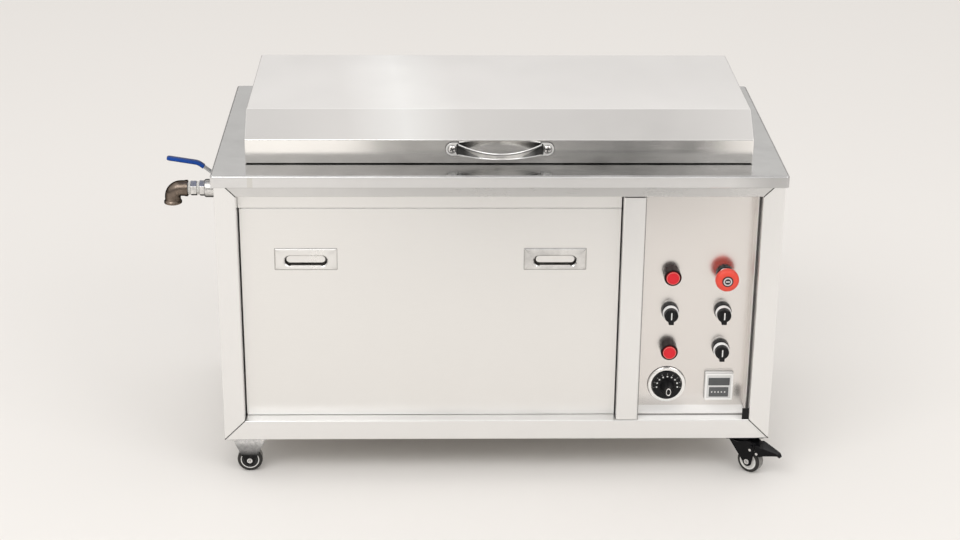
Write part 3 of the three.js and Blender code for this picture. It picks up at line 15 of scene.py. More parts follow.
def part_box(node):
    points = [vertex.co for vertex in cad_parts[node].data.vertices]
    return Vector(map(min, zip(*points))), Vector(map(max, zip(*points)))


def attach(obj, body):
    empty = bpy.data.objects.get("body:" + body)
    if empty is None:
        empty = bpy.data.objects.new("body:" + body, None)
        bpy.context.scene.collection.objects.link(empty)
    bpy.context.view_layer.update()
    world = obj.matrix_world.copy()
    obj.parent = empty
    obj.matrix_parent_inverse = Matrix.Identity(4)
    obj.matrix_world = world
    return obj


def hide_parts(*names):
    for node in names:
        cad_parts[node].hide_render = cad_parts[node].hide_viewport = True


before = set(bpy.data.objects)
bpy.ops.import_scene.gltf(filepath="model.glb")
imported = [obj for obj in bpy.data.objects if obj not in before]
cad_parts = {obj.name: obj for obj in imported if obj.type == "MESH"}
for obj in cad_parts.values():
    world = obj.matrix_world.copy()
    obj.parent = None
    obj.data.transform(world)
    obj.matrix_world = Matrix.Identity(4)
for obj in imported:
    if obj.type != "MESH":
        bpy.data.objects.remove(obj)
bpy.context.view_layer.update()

bl_info = {
    "name": "Ultrasonic Cleaner Cabinet",
    "version": (1, 0, 0),
    "blender": (4, 5, 0),
    "location": "View3D > Sidebar > Cleaner",
    "description": "Builds the pieces and finishes of a stainless ultrasonic cleaner",
    "category": "Add Mesh",
}

# Place of the cabinet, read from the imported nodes

DECK_BOX_LOW, DECK_BOX_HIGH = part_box("deck")
RAIL_BOX_LOW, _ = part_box("front_bottom_rail")
CENTRE = Vector(((DECK_BOX_LOW.x + DECK_BOX_HIGH.x) / 2, RAIL_BOX_LOW.y, 0.0))
TO_ROW = Matrix.Translation(CENTRE) @ Matrix.Scale(0.001, 4)

UP, DOWN, RIGHT, BACK, TO_FRONT = (0, 0, 1), (0, 0, -1), (1, 0, 0), (0, 1, 0), (0, -1, 0)

# Edges at least this sharp are rounded when a shape asks for it
SHARP = math.radians(25.0)
# Shading stays split at edges sharper than this
SPLIT = math.radians(34.0)


# Shapes: each function gives a bmesh, and piece() joins them into one object


def outward(shape):
    """Merges doubles and turns every face of a fresh closed shape outwards."""
    bmesh.ops.remove_doubles(shape, verts=shape.verts, dist=0.0005)
    bmesh.ops.recalc_face_normals(shape, faces=shape.faces)
    return shape


def sharp_edges(shape, least=SHARP):
    return [e for e in shape.edges if len(e.link_faces) == 2 and e.calc_face_angle(0.0) > least]


def heading(edge):
    return (edge.verts[1].co - edge.verts[0].co).normalized()


def bevelled(shape, edges, radius, segments=2):
    """Rounds the chosen edges."""
    bmesh.ops.bevel(
        shape, geom=edges, offset=radius, offset_type="OFFSET", segments=segments,
        profile=0.5, affect="EDGES", material=-1, clamp_overlap=True,
    )
    return shape


def softened(shape, radius, segments=2, least=SHARP):
    """Rounds every sharp edge, or none for a radius of zero."""
    return bevelled(shape, sharp_edges(shape, least), radius, segments) if radius else shape


def edges_along(shape, axis, radius):
    """Rounds only the sharp edges that run along an axis."""
    chosen = [e for e in sharp_edges(shape, 0.4) if abs(heading(e).dot(Vector(axis))) > 0.99]
    return bevelled(shape, chosen, radius, 3)


def block(low, high, radius=0.0, segments=2):
    """A box between two corners with rounded edges."""
    low, high = Vector(low), Vector(high)
    shape = bmesh.new()
    matrix = Matrix.Translation((low + high) / 2) @ Matrix.Diagonal((*(high - low), 1.0))
    bmesh.ops.create_cube(shape, size=1.0, matrix=matrix)
    return softened(shape, radius, segments)


PLANES = {
    "up": Matrix(((1, 0, 0), (0, 1, 0), (0, 0, 1))),
    "back": Matrix(((1, 0, 0), (0, 0, 1), (0, 1, 0))),
    "across": Matrix(((0, 0, 1), (1, 0, 0), (0, 1, 0))),
}


def laid(points, plane, depth):
    """Flat points set in a plane: up along z, back along y or across along x."""
    return [PLANES[plane] @ Vector((a, b, depth)) for a, b in points]


def wire(shape, points):
    """New vertices through points, and the closed loop of edges that joins them."""
    verts = [shape.verts.new(Vector(p)) for p in points]
    return verts, [shape.edges.new(pair) for pair in zip(verts, verts[1:] + verts[:1])]


def thickened(shape, faces, plane, depth, radius):
    """Pushes faces out along their plane's normal, and rounds what is sharp."""
    grown = bmesh.ops.extrude_face_region(shape, geom=faces, use_keep_orig=True)["geom"]
    moved = [v for v in grown if isinstance(v, bmesh.types.BMVert)]
    bmesh.ops.translate(shape, verts=moved, vec=PLANES[plane] @ Vector((0, 0, depth)))
    return softened(outward(shape), radius)


def prism(points, plane, start, end, radius=0.0):
    """An outline filled from start to end."""
    shape = bmesh.new()
    verts = [shape.verts.new(p) for p in laid(points, plane, start)]
    faces = bmesh.ops.contextual_create(shape, geom=verts)["faces"]
    return thickened(shape, faces, plane, end - start, radius)


def framed(outer, inner, plane, start, end, radius=0.0):
    """A plate between two outlines of the same number of points, such as a plate with a slot."""
    shape = bmesh.new()
    edges = [e for points in (outer, inner) for e in wire(shape, laid(points, plane, start))[1]]
    faces = bmesh.ops.bridge_loops(shape, edges=edges)["faces"]
    return thickened(shape, faces, plane, end - start, radius)


def pierced(outer, holes, plane, start, end, radius=0.0):
    """A plate of any outline with openings of any outline."""
    shape = bmesh.new()
    edges = [e for points in (outer, *holes) for e in wire(shape, laid(points, plane, start))[1]]
    normal = PLANES[plane] @ Vector(UP)
    bmesh.ops.triangle_fill(shape, use_beauty=True, use_dissolve=False, edges=edges, normal=normal)
    return thickened(shape, shape.faces[:], plane, end - start, radius)


def lofted(loops, closed=False, capped=True):
    """A skin through loops of points in space. Closed lofts come back to the first loop."""
    shape = bmesh.new()
    rings = [wire(shape, loop) for loop in loops]
    for (_, first), (_, second) in zip(rings, rings[1:] + (rings[:1] if closed else [])):
        bmesh.ops.bridge_loops(shape, edges=first + second)
    if capped and not closed:
        for verts, _ in (rings[0], rings[-1]):
            bmesh.ops.contextual_create(shape, geom=verts)
    bmesh.ops.recalc_face_normals(shape, faces=shape.faces)
    return shape


def swept(section, route):
    """A closed section carried along a route. It may be a function of the share of the way."""
    route = [Vector(p) for p in route]
    loops = []
    for i, point in enumerate(route):
        before, after = route[max(i - 1, 0)], route[min(i + 1, len(route) - 1)]
        direction = (after - before).normalized()
        side = direction.cross(Vector(UP)).normalized()
        rise = side.cross(direction).normalized()
        outline = section(i / (len(route) - 1)) if callable(section) else section
        loops.append([point + side * a + rise * b for a, b in outline])
    return outward(lofted(loops))


def along(axis, centre):
    """The frame of a turned shape: its own z runs along axis, and its zero is at centre."""
    turn = Vector(UP).rotation_difference(Vector(axis).normalized())
    return Matrix.Translation(Vector(centre)) @ turn.to_matrix().to_4x4()


def turned(profile, axis, centre, steps=48, radius=0.0, segments=2):
    """(radius, height) points spun round an axis. A profile that starts off the axis is closed."""
    place = along(axis, centre)
    shape = bmesh.new()
    closing = profile[:1] if profile[0][0] else []
    verts = [shape.verts.new(place @ Vector((r, 0, h))) for r, h in [*profile, *closing]]
    edges = [shape.edges.new(pair) for pair in zip(verts, verts[1:])]
    direction = place.to_3x3() @ Vector(UP)
    bmesh.ops.spin(
        shape, geom=verts + edges, cent=place.translation, axis=direction, dvec=(0, 0, 0),
        angle=math.tau, steps=steps, use_merge=True, use_normal_flip=False, use_duplicate=False,
    )
    outward(shape)
    if not radius:
        return shape
    rings = [e for e in sharp_edges(shape) if abs(heading(e).dot(direction)) < 0.2]
    return bevelled(shape, rings, radius, segments)


def rod(radius, start, end):
    return [(0, start), (radius, start), (radius, end), (0, end)]


def sleeve(inner, outer, start, end):
    return [(inner, start), (outer, start), (outer, end), (inner, end)]


def hexagon(across, axis, centre, start, end, turn=0.0, radius=0.6):
    """A hexagonal nut or collar with rounded edges."""
    place = along(axis, centre) @ Matrix.Rotation(turn, 4, "Z")
    shape = bmesh.new()
    reach = across / math.sqrt(3)
    bmesh.ops.create_cone(
        shape, cap_ends=True, cap_tris=False, segments=6, radius1=reach, radius2=reach,
        depth=end - start, matrix=place @ Matrix.Translation((0, 0, (start + end) / 2)),
    )
    return softened(shape, radius, 3)


def bend_points(points, radius, steps=6):
    """The same line with an arc in place of each inner corner."""
    line = [Vector(p) for p in points]
    out = [line[0]]
    for before, corner, after in zip(line, line[1:], line[2:]):
        back, ahead = before - corner, after - corner
        reach = min(radius / math.tan(back.angle(ahead) / 2), 0.49 * back.length, 0.49 * ahead.length)
        first, last = (corner + way.normalized() * reach for way in (back, ahead))
        for i in range(steps + 1):
            t = i / steps
            out.append(first * (1 - t) ** 2 + corner * 2 * t * (1 - t) + last * t ** 2)
    return [*out, line[-1]]


# Outlines: lists of flat points


def circle(radius, count=24, squash=1.0):
    turns = (math.tau * i / count for i in range(count))
    return [(radius * math.cos(a), squash * radius * math.sin(a)) for a in turns]


def arc_points(centre, radius, start, end, steps=14):
    turns = (math.radians(start + (end - start) * i / steps) for i in range(steps + 1))
    return [(centre[0] + radius * math.cos(a), centre[1] + radius * math.sin(a)) for a in turns]


def rounded_rectangle(low, high, radius, steps=5):
    """Points of a rectangle with round corners, anticlockwise."""
    (x0, y0), (x1, y1) = low, high
    corners = ((x1 - radius, y0 + radius, -90), (x1 - radius, y1 - radius, 0),
               (x0 + radius, y1 - radius, 90), (x0 + radius, y0 + radius, 180))
    return [p for x, y, start in corners for p in arc_points((x, y), radius, start, start + 90, steps)]


def centred(centre, half, rise, radius, steps=4):
    """A round-cornered rectangle round its middle."""
    (x, z) = centre
    return rounded_rectangle((x - half, z - rise), (x + half, z + rise), radius, steps)


def stadium(centre, length, height, steps=8):
    """An opening with fully round ends."""
    return centred(centre, length / 2, height / 2, height / 2 - 0.01, steps)


def inset_rectangle(low, high, corner, inset, steps=5):
    """A round-cornered rectangle drawn in by an inset."""
    low, high = (low[0] + inset, low[1] + inset), (high[0] - inset, high[1] - inset)
    return rounded_rectangle(low, high, max(corner - inset, 0.2), steps)


def insets(low, high, corner, plane, rings, steps=5):
    """Loops for a loft: one rectangle for each (inset, depth)."""
    return [laid(inset_rectangle(low, high, corner, inset, steps), plane, depth) for inset, depth in rings]


def quarter(radius, steps):
    """(inset, rise) points from the foot of a quarter round to its top."""
    turns = (math.radians(90 * i / steps) for i in range(steps + 1))
    return [(radius * (1 - math.cos(a)), radius * math.sin(a)) for a in turns]


# Shapes that several pieces share

SHEET = 1.2


def folded(low, high, plane, face, back, fold, holes=()):
    """A sheet tray: its face at one depth, its sides folded to another, with open back."""
    way = 1.0 if back > face else -1.0
    reach, corner = fold + SHEET, 1.5
    rings = [(0.0, back), *((inset, face + way * (fold - rise)) for inset, rise in quarter(fold, 4))]
    rings += [(reach, face), (reach, face + way * SHEET), (SHEET, face + way * reach), (SHEET, back)]
    rim = lofted(insets(low, high, corner, plane, rings), closed=True)
    flat = inset_rectangle(low, high, corner, reach)
    return [rim, pierced(flat, holes, plane, face, face + way * SHEET)]


def screws(places, axis, radius, rise, metal):
    """Domed screw heads, each with a cross recess shown by two dark bars of painted shade."""
    parts = []
    profile = [(0, 0), (radius, 0), (radius, rise * 0.35), (radius * 0.8, rise * 0.8), (0, rise)]
    corner = Vector((radius * 0.62, radius * 0.13, rise * 0.1))
    for i, centre in enumerate(places):
        parts.append((turned(profile, axis, centre, 24), metal))
        top = Matrix.Translation((0, 0, rise * 0.93))
        place = along(axis, centre) @ Matrix.Rotation(0.5 + 0.9 * i, 4, "Z") @ top
        for quarter_turn in (0.0, math.pi / 2):
            bar = block((-corner.x, -corner.y, -rise * 0.2), corner, 0.08)
            matrix = place @ Matrix.Rotation(quarter_turn, 4, "Z")
            bmesh.ops.transform(bar, matrix=matrix, verts=bar.verts)
            parts.append((bar, "inner wall"))
    return parts


def figure(text, height, place, turn):
    """A printed figure on a face that looks to the front, as a thin raised shape."""
    curve = bpy.data.curves.new("figure", "FONT")
    curve.body, curve.size, curve.resolution_u = text, height, 2
    curve.align_x, curve.align_y = "CENTER", "CENTER"
    holder = bpy.data.objects.new("figure", curve)
    shape = bmesh.new()
    shape.from_mesh(holder.to_mesh())
    holder.to_mesh_clear()
    bpy.data.objects.remove(holder)
    bpy.data.curves.remove(curve)
    facing = Matrix.Rotation(math.pi / 2, 4, "X") @ Matrix.Rotation(turn, 4, "Z")
    bmesh.ops.transform(shape, matrix=Matrix.Translation(place) @ facing, verts=shape.verts)
    return shape


def linked(name, data):
    """A new object in the scene."""
    thing = bpy.data.objects.new(name, data)
    bpy.context.scene.collection.objects.link(thing)
    return thing


def piece(name, shapes, body="cabinet", nodes=()):
    """Joins [(shape, finish), ...] into one object that rides on a body and stands for nodes.

    A shape may have (test, finish) pairs after its finish, for the faces that pass a test.
    Without nodes, the piece has the name of the node that it stands for.
    """
    whole = bmesh.new()
    finishes = []
    for shape, plain, *others in shapes:
        for face in shape.faces:
            chosen = next((other for test, other in others if test(face)), plain)
            if chosen not in finishes:
                finishes.append(chosen)
            face.material_index = finishes.index(chosen)
            face.smooth = True
        scratch = bpy.data.meshes.new("scratch")
        shape.to_mesh(scratch)
        shape.free()
        whole.from_mesh(scratch)
        bpy.data.meshes.remove(scratch)
    if not whole.faces:
        raise RuntimeError(f"{name} has no faces")
    bmesh.ops.transform(whole, matrix=TO_ROW, verts=whole.verts)
    mesh = bpy.data.meshes.new("look_" + name)
    whole.to_mesh(mesh)
    whole.free()
    mesh.set_sharp_from_angle(angle=SPLIT)
    for chosen in finishes:
        mesh.materials.append(finish(chosen))
    thing = linked("look_" + name, mesh)
    thing.modifiers.new("even shading", "WEIGHTED_NORMAL").keep_sharp = True
    nodes = nodes or [name]
    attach(thing, body)
    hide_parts(*nodes)


# Shader node groups: they give only masks, values and heights


def new_group(name, inputs, outputs):
    """An empty shader node group with its input and output sockets."""
    group = bpy.data.node_groups.new(name, "ShaderNodeTree")
    for socket, kind, default in inputs:
        made = group.interface.new_socket(name=socket, in_out="INPUT", socket_type=kind)
        made.default_value = default
    for socket in outputs:
        group.interface.new_socket(name=socket, in_out="OUTPUT", socket_type="NodeSocketFloat")
    return group, group.nodes.new("NodeGroupInput"), group.nodes.new("NodeGroupOutput")


def operated(tree, kind, operation, *values):
    """A math node of a kind, fed by sockets."""
    node = tree.nodes.new(kind)
    node.operation = operation
    for i, value in enumerate(values):
        tree.links.new(value, node.inputs[i])
    return node.outputs


def calculated(tree, operation, *values):
    return operated(tree, "ShaderNodeMath", operation, *values)[0]


def object_place(tree):
    return tree.nodes.new("ShaderNodeTexCoord").outputs["Object"]


# Masks of each surface: name, usual scale, detail and roughness of the noise
MASKS = {
    "Rolled sheet": (("Grain", 30.0, 5.0, 0.7), ("Cloud", 6.0, 4.0, 0.6), ("Swell", 3.0, 1.0, 0.4)),
    "Handled surface": (("Speck", 900.0, 2.0, 0.55), ("Smudge", 25.0, 4.0, 0.6)),
}
ALONG_X, ALONG_Z = (1.0, 40.0, 40.0), (40.0, 40.0, 1.0)


def noise_group(name):
    """Noise masks of a surface. A rolled sheet's grain is stretched one way."""
    inputs = [(f"{mask} scale", "NodeSocketFloat", scale) for mask, scale, *_ in MASKS[name]]
    brushed = name == "Rolled sheet"
    if brushed:
        inputs.insert(0, ("Stretch", "NodeSocketVector", ALONG_X))
    group, inside, outside = new_group(name, inputs, [mask for mask, *_ in MASKS[name]])
    where = object_place(group)
    for mask, scale, detail, roughness in MASKS[name]:
        noise = group.nodes.new("ShaderNodeTexNoise")
        noise.inputs["Scale"].default_value = scale
        noise.inputs["Detail"].default_value = detail
        noise.inputs["Roughness"].default_value = roughness
        place = where
        if brushed and mask == "Grain":
            place = operated(
                group, "ShaderNodeVectorMath", "MULTIPLY", where, inside.outputs["Stretch"],
            )["Vector"]
        group.links.new(place, noise.inputs["Vector"])
        group.links.new(inside.outputs[f"{mask} scale"], noise.inputs["Scale"])
        group.links.new(noise.outputs["Fac"], outside.inputs[mask])
    return group


def painted_light_distance_group(name):
    """The distance from a plane, as a mask for light and shade painted along a piece."""
    group, inside, outside = new_group(
        name, [("Axis", "NodeSocketVector", RIGHT), ("Middle", "NodeSocketFloat", 0.0)], ["Distance"],
    )
    reach = operated(
        group, "ShaderNodeVectorMath", "DOT_PRODUCT", object_place(group), inside.outputs["Axis"],
    )["Value"]
    offset = calculated(group, "SUBTRACT", reach, inside.outputs["Middle"])
    group.links.new(calculated(group, "ABSOLUTE", offset), outside.inputs["Distance"])
    return group


GROUPS = {}


def placed_group(tree, name, values):
    """A node of the named group, which is made when it is first asked for."""
    if name not in GROUPS:
        GROUPS[name] = noise_group(name) if name in MASKS else painted_light_distance_group(name)
    node = tree.nodes.new("ShaderNodeGroup")
    node.node_tree = GROUPS[name]
    for socket, value in values.items():
        node.inputs[socket].default_value = value
    return node.outputs


# Finishes


def fresh_material(name):
    material = bpy.data.materials.new(name)
    material.use_nodes = True
    return material, material.node_tree, material.node_tree.nodes["Principled BSDF"]


def ranged(tree, value, low, high, start=0.3, end=0.7):
    """Maps a mask between two values."""
    node = tree.nodes.new("ShaderNodeMapRange")
    for socket, limit in (("From Min", start), ("From Max", end), ("To Min", low), ("To Max", high)):
        node.inputs[socket].default_value = limit
    tree.links.new(value, node.inputs["Value"])
    return node.outputs["Result"]


def blended(tree, mask, first, second):
    """Mixes two colours by a mask. A colour is a tuple or a socket."""
    node = tree.nodes.new("ShaderNodeMix")
    node.data_type = "RGBA"
    tree.links.new(mask, node.inputs["Factor"])
    for socket, colour in ((node.inputs[6], first), (node.inputs[7], second)):
        if isinstance(colour, bpy.types.NodeSocket):
            tree.links.new(colour, socket)
        else:
            socket.default_value = (*colour[:3], 1.0)
    return node.outputs[2]


def bumped(tree, height, millimetres, under=None):
    node = tree.nodes.new("ShaderNodeBump")
    node.inputs["Distance"].default_value = millimetres / 1000
    node.inputs["Strength"].default_value = 1.0
    tree.links.new(height, node.inputs["Height"])
    if under:
        tree.links.new(under, node.inputs["Normal"])
    return node.outputs["Normal"]


def grey(level, warmth=0.02):
    return (level, level * (1 - warmth), level * (1 - 2 * warmth))


def shade(colour, by):
    return tuple(min(1.0, c * by) for c in colour[:3])


def painted_light_near_plane(tree, tone, colour, fade):
    """Paints light or shade into a tone near a plane; the tuple is (axis, middle, near, far, factor)."""
    axis, middle, near, far, factor = fade
    place = placed_group(tree, "Side fade", {"Axis": axis, "Middle": middle})
    mask = ranged(tree, place["Distance"], 1.0, 0.0, near, far)
    return blended(tree, mask, tone, shade(colour, factor))


def sheet_steel(name, colour, roughness, swell, scales=(30.0, 6.0, 3.0), patch=1.03, stretch=ALONG_X,
                grain=0.005, drift=0.975, spread=0.04, fade=None):
    """Bare metal sheet with brushed grain. Swell and grain are heights in millimetres, drift and
    patch the tone of the grain and of the clouds, and spread the change of roughness."""
    material, tree, shader = fresh_material(name)
    shader.inputs["Metallic"].default_value = 1.0
    look = placed_group(tree, "Rolled sheet", {
        "Stretch": stretch, "Grain scale": scales[0], "Cloud scale": scales[1], "Swell scale": scales[2],
    })
    tone = blended(tree, ranged(tree, look["Grain"], 0.0, 1.0), shade(colour, drift), colour)
    tone = blended(tree, ranged(tree, look["Cloud"], 0.0, 0.55), tone, shade(colour, patch))
    # Painted light: the tone turns lighter or darker near a plane
    if fade:
        tone = painted_light_near_plane(tree, tone, colour, fade)
    tree.links.new(tone, shader.inputs["Base Color"])
    fine = ranged(tree, look["Grain"], 0.0, spread)
    broad = ranged(tree, look["Cloud"], roughness - spread, roughness + spread)
    tree.links.new(calculated(tree, "ADD", fine, broad), shader.inputs["Roughness"])
    wavy = bumped(tree, look["Swell"], swell)
    tree.links.new(bumped(tree, look["Grain"], grain, wavy), shader.inputs["Normal"])
    return material


def coated(name, colour, roughness, metallic, smudge, speck, drift, scales=(900.0, 25.0), specular=0.5,
           coat=0.0, fade=None, rim=0.0):
    """Moulded, dipped, plated or painted surface. Smudge is the change of roughness, speck a height
    in millimetres, drift the tone of the smudges and rim the painted shade of faces turned away from the
    view."""
    material, tree, shader = fresh_material(name)
    for socket, value in (("Metallic", metallic), ("Coat Weight", coat), ("Coat Roughness", 0.12),
                          ("Specular IOR Level", specular)):
        shader.inputs[socket].default_value = value
    look = placed_group(tree, "Handled surface", {"Speck scale": scales[0], "Smudge scale": scales[1]})
    tone = blended(tree, ranged(tree, look["Smudge"], 0.0, 1.0), colour, shade(colour, drift))
    # Painted light: the tone turns lighter or darker near a plane
    if fade:
        tone = painted_light_near_plane(tree, tone, colour, fade)
    # Painted shade: faces turned away from the view are darkened by the rim factor
    if rim:
        facing = tree.nodes.new("ShaderNodeLayerWeight").outputs["Facing"]
        shader.inputs["Specular Tint"].default_value = (*grey(0.25, 0.0), 1.0)
        tone = blended(tree, ranged(tree, facing, 0.0, 1.0, 0.25, 0.7), tone, shade(colour, rim))
    tree.links.new(tone, shader.inputs["Base Color"])
    rough = ranged(tree, look["Smudge"], max(0.02, roughness - smudge / 2), roughness + smudge)
    tree.links.new(rough, shader.inputs["Roughness"])
    tree.links.new(bumped(tree, look["Speck"], speck), shader.inputs["Normal"])
    return material


# Sheets: colour, roughness, swell, scales of grain, clouds and swell, tone of the clouds, others
SHEETS = {
    "frame rail steel": ((0.88, 0.875, 0.865), 0.3, 0.2),
    "frame post steel": ((0.88, 0.875, 0.865), 0.3, 0.2, {"stretch": ALONG_Z}),
    # The top rail is darker: painted shade of the deck's lip above it
    "top rail steel": ((0.71, 0.705, 0.695), 0.28, 0.6, (30.0, 9.0, 5.0), 0.84, {"drift": 0.985}),
    "door steel": ((0.88, 0.87, 0.85), 0.33, 0.8, (30.0, 5.0, 2.2)),
    "side steel": ((0.82, 0.81, 0.79), 0.3, 0.8, (30.0, 5.0, 2.2)),
    "panel steel": ((0.8, 0.77, 0.745), 0.24, 0.3, {
        "grain": 0.001, "drift": 0.99, "spread": 0.015, "patch": 1.01}),
    "panel wall steel": ((0.93, 0.925, 0.91), 0.5, 0.2),
    "panel edge steel": ((0.87, 0.845, 0.82), 0.4, 0.2, {"stretch": ALONG_Z}),
    "fascia steel": ((0.95, 0.935, 0.91), 0.13, 1.0, (30.0, 7.0, 5.0), 0.97),
    # The lip darkens towards its right end: painted reflection
    "lip steel": ((0.83, 0.825, 0.82), 0.36, 0.8, (30.0, 9.0, 5.0), 0.88, {
        "fade": (RIGHT, 0.535, 0.03, 0.1, 0.68)}),
    "deck steel": ((0.43, 0.43, 0.425), 0.15, 0.8, (30.0, 9.0, 4.0), 1.7, {"spread": 0.07}),
    # The lid is lighter in a band running front to back: painted reflection
    "lid steel": ((0.86, 0.845, 0.83), 0.14, 0.6, (30.0, 4.0, 2.0), {
        "fade": ((1.0, 0.1, 0.0), -0.12, 0.0, 0.1, 1.19)}),
    "weld bead": ((0.74, 0.73, 0.7), 0.4, 0.2, (300.0, 90.0, 60.0)),
}
# Coats: colour or the name of its setting, roughness, metallic, smudge, speck, drift, others
COATS = {
    # Plain white, not metal: painted highlight of the lit ledge
    "ledge steel": ((1.0, 0.995, 0.98), 0.4, 0.0, 0.1, 0.01, 0.99),
    "bezel steel": ((0.95, 0.945, 0.935), 0.22, 1.0, 0.06, 0.01, 0.97),
    "slot grey": ((0.19, 0.186, 0.18), 0.5, 0.0, 0.1, 0.01, 0.9),
    "foot steel": ((0.93, 0.925, 0.915), 0.36, 1.0, 0.1, 0.01, 0.9),
    "pull steel": ((0.88, 0.87, 0.85), 0.28, 1.0, 0.08, 0.01, 0.94),
    # Its rim darkens faces turned away from the view: painted shade
    "fitting steel": ((0.84, 0.83, 0.81), 0.28, 1.0, 0.1, 0.02, 0.7, {"scales": (900.0, 90.0), "rim": 0.01}),
    # Plain white, not metal: the colour paints the ring's bright highlight
    "pale ring": ((0.95, 0.945, 0.935), 0.25, 0.0, 0.06, 0.01, 0.97),
    "timer face": ((0.7, 0.7, 0.69), 0.42, 0.0, 0.1, 0.03, 0.94),
    # Dark lines that paint the shade in gaps and creases
    "soft line": ((0.3, 0.29, 0.28), 0.5, 0.0, 0.1, 0.01, 0.9),
    "bowl steel": ((0.62, 0.6, 0.57), 0.4, 0.5, 0.12, 0.02, 0.6, {"scales": (900.0, 80.0)}),
    # The band darkens towards its feet: painted reflection of dark surroundings
    "handle steel": ((0.74, 0.735, 0.72), 0.08, 1.0, 0.03, 0.004, 0.55, {
        "scales": (900.0, 30.0), "fade": (RIGHT, CENTRE.x, 0.06, 0.028, 0.1)}),
    "shadow line": ((0.05, 0.048, 0.045), 0.6, 0.0, 0.1, 0.01, 0.9),
    "stop disc": ((0.02, 0.018, 0.02), 0.4, 0.0, 0.08, 0.02, 0.85),
    "mark pale": ((0.62, 0.6, 0.6), 0.45, 0.0, 0.08, 0.01, 0.95),
    # Darker steel with bright smudges: painted reflections
    "patched steel": ((0.52, 0.515, 0.505), 0.14, 1.0, 0.06, 0.01, 1.6, {"scales": (900.0, 30.0)}),
    "polished steel": ((0.83, 0.82, 0.81), 0.1, 1.0, 0.06, 0.01, 0.93),
    "satin steel": ((0.78, 0.77, 0.75), 0.26, 1.0, 0.08, 0.005, 0.9),
    "zinc plate": ((0.52, 0.53, 0.54), 0.3, 1.0, 0.12, 0.01, 0.6, {"scales": (500.0, 60.0)}),
    # Darker towards the floor, near black below: painted shade
    "fork zinc": ((0.78, 0.78, 0.78), 0.26, 1.0, 0.12, 0.01, 0.55, {
        "scales": (700.0, 90.0), "fade": (UP, 0.0, 0.032, 0.058, 0.03)}),
    # Its rim darkens faces turned away from the view: painted shade
    "bronzed iron": ((0.27, 0.215, 0.175), 0.27, 1.0, 0.14, 0.12, 0.5, {
        "scales": (420.0, 60.0), "rim": 0.02}),
    "black coat": ((0.004, 0.004, 0.005), 0.18, 0.0, 0.08, 0.02, 0.7, {
        "scales": (700.0, 60.0), "specular": 0.16}),
    "black moulding": ((0.008, 0.008, 0.009), 0.3, 0.0, 0.1, 0.02, 0.75, {"specular": 0.22}),
    "black gloss": ((0.02, 0.007, 0.007), 0.16, 0.0, 0.06, 0.01, 0.75, {"specular": 0.15}),
    "grey moulding": ((0.95, 0.94, 0.925), 0.4, 0.0, 0.12, 0.02, 0.95),
    "housing coat": ((0.58, 0.575, 0.56), 0.45, 0.0, 0.1, 0.12, 0.93, {"scales": (1400.0, 12.0)}),
    "red lens": ("button", 0.22, 0.0, 0.06, 0.01, 0.85, {"coat": 0.05, "specular": 0.3}),
    "red pale rim": ((0.8, 0.2, 0.17), 0.25, 0.0, 0.06, 0.01, 0.85, {"coat": 0.4}),
    "stop red": ("stop", 0.34, 0.0, 0.08, 0.02, 0.9, {"specular": 0.35}),
    "mark white": ((0.82, 0.82, 0.8), 0.45, 0.0, 0.08, 0.01, 0.95),
    "mark dim": ((0.52, 0.52, 0.5), 0.5, 0.0, 0.08, 0.01, 0.9),
    "display window": ((0.1, 0.104, 0.106), 0.2, 0.0, 0.04, 0.01, 0.85, {"specular": 0.35}),
    "keypad film": ((0.11, 0.114, 0.116), 0.4, 0.0, 0.08, 0.02, 0.9),
    "sealing tape": ((0.8, 0.79, 0.76), 0.55, 0.0, 0.08, 0.1, 0.85, {"scales": (600.0, 200.0)}),
    # Its rim darkens faces turned away from the view: painted shade
    "blue vinyl": ("sleeve", 0.28, 0.0, 0.12, 0.03, 0.8, {"specular": 0.4, "rim": 0.3}),
    "tyre rubber": ((0.026, 0.025, 0.023), 0.55, 0.0, 0.15, 0.06, 1.4, {"specular": 0.3}),
    "worn tread": ((0.36, 0.35, 0.33), 0.5, 0.0, 0.15, 0.1, 0.6, {"scales": (700.0, 90.0)}),
    "wheel core": ((0.86, 0.85, 0.82), 0.4, 0.0, 0.12, 0.02, 0.85),
    # Black that paints the shade in screw recesses and in a wheel's web
    "inner wall": ((0.03, 0.03, 0.03), 0.5, 0.0, 0.1, 0.02, 0.8),
    "cast alloy": ((0.6, 0.6, 0.6), 0.35, 1.0, 0.12, 0.08, 0.85),
    "heater film": ((0.42, 0.16, 0.05), 0.4, 0.0, 0.12, 0.05, 0.8, {"coat": 0.3}),
    # Black behind the louvre slots: painted shade
    "louvre shade": ((0.02, 0.02, 0.02), 0.7, 0.0, 0.1, 0.02, 0.8),
}
FINISHES = {}


def finish(name):
    """The material of that name, made when it is first asked for."""
    if name not in FINISHES:
        maker, row = (sheet_steel, SHEETS[name]) if name in SHEETS else (coated, COATS[name])
        colour, *values = row
        others = values.pop() if isinstance(values[-1], dict) else {}
        if isinstance(colour, str):
            colour = tuple(getattr(colours(), colour))
        FINISHES[name] = maker(name.capitalize(), colour, *values, **others)
    return FINISHES[name]


# Settings a user can change


class CleanerSizes(bpy.types.PropertyGroup):
    """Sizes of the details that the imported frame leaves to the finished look, in millimetres."""

    tube_edge: FloatProperty(
        name="Tube edge", description="Rounding of the long edges of the frame tubes",
        default=1.6, min=0.3, max=5.0,
    )
    sheet_edge: FloatProperty(
        name="Sheet edge", description="Rounding of folded sheet edges", default=1.2, min=0.2, max=4.0,
    )
    seam_gap: FloatProperty(
        name="Seam gap", description="Width of the dark line where two members meet",
        default=2.6, min=0.2, max=3.0,
    )
    dial_marks: IntProperty(
        name="Dial marks", description="Number of dots round the dial", default=9, min=3, max=25,
    )


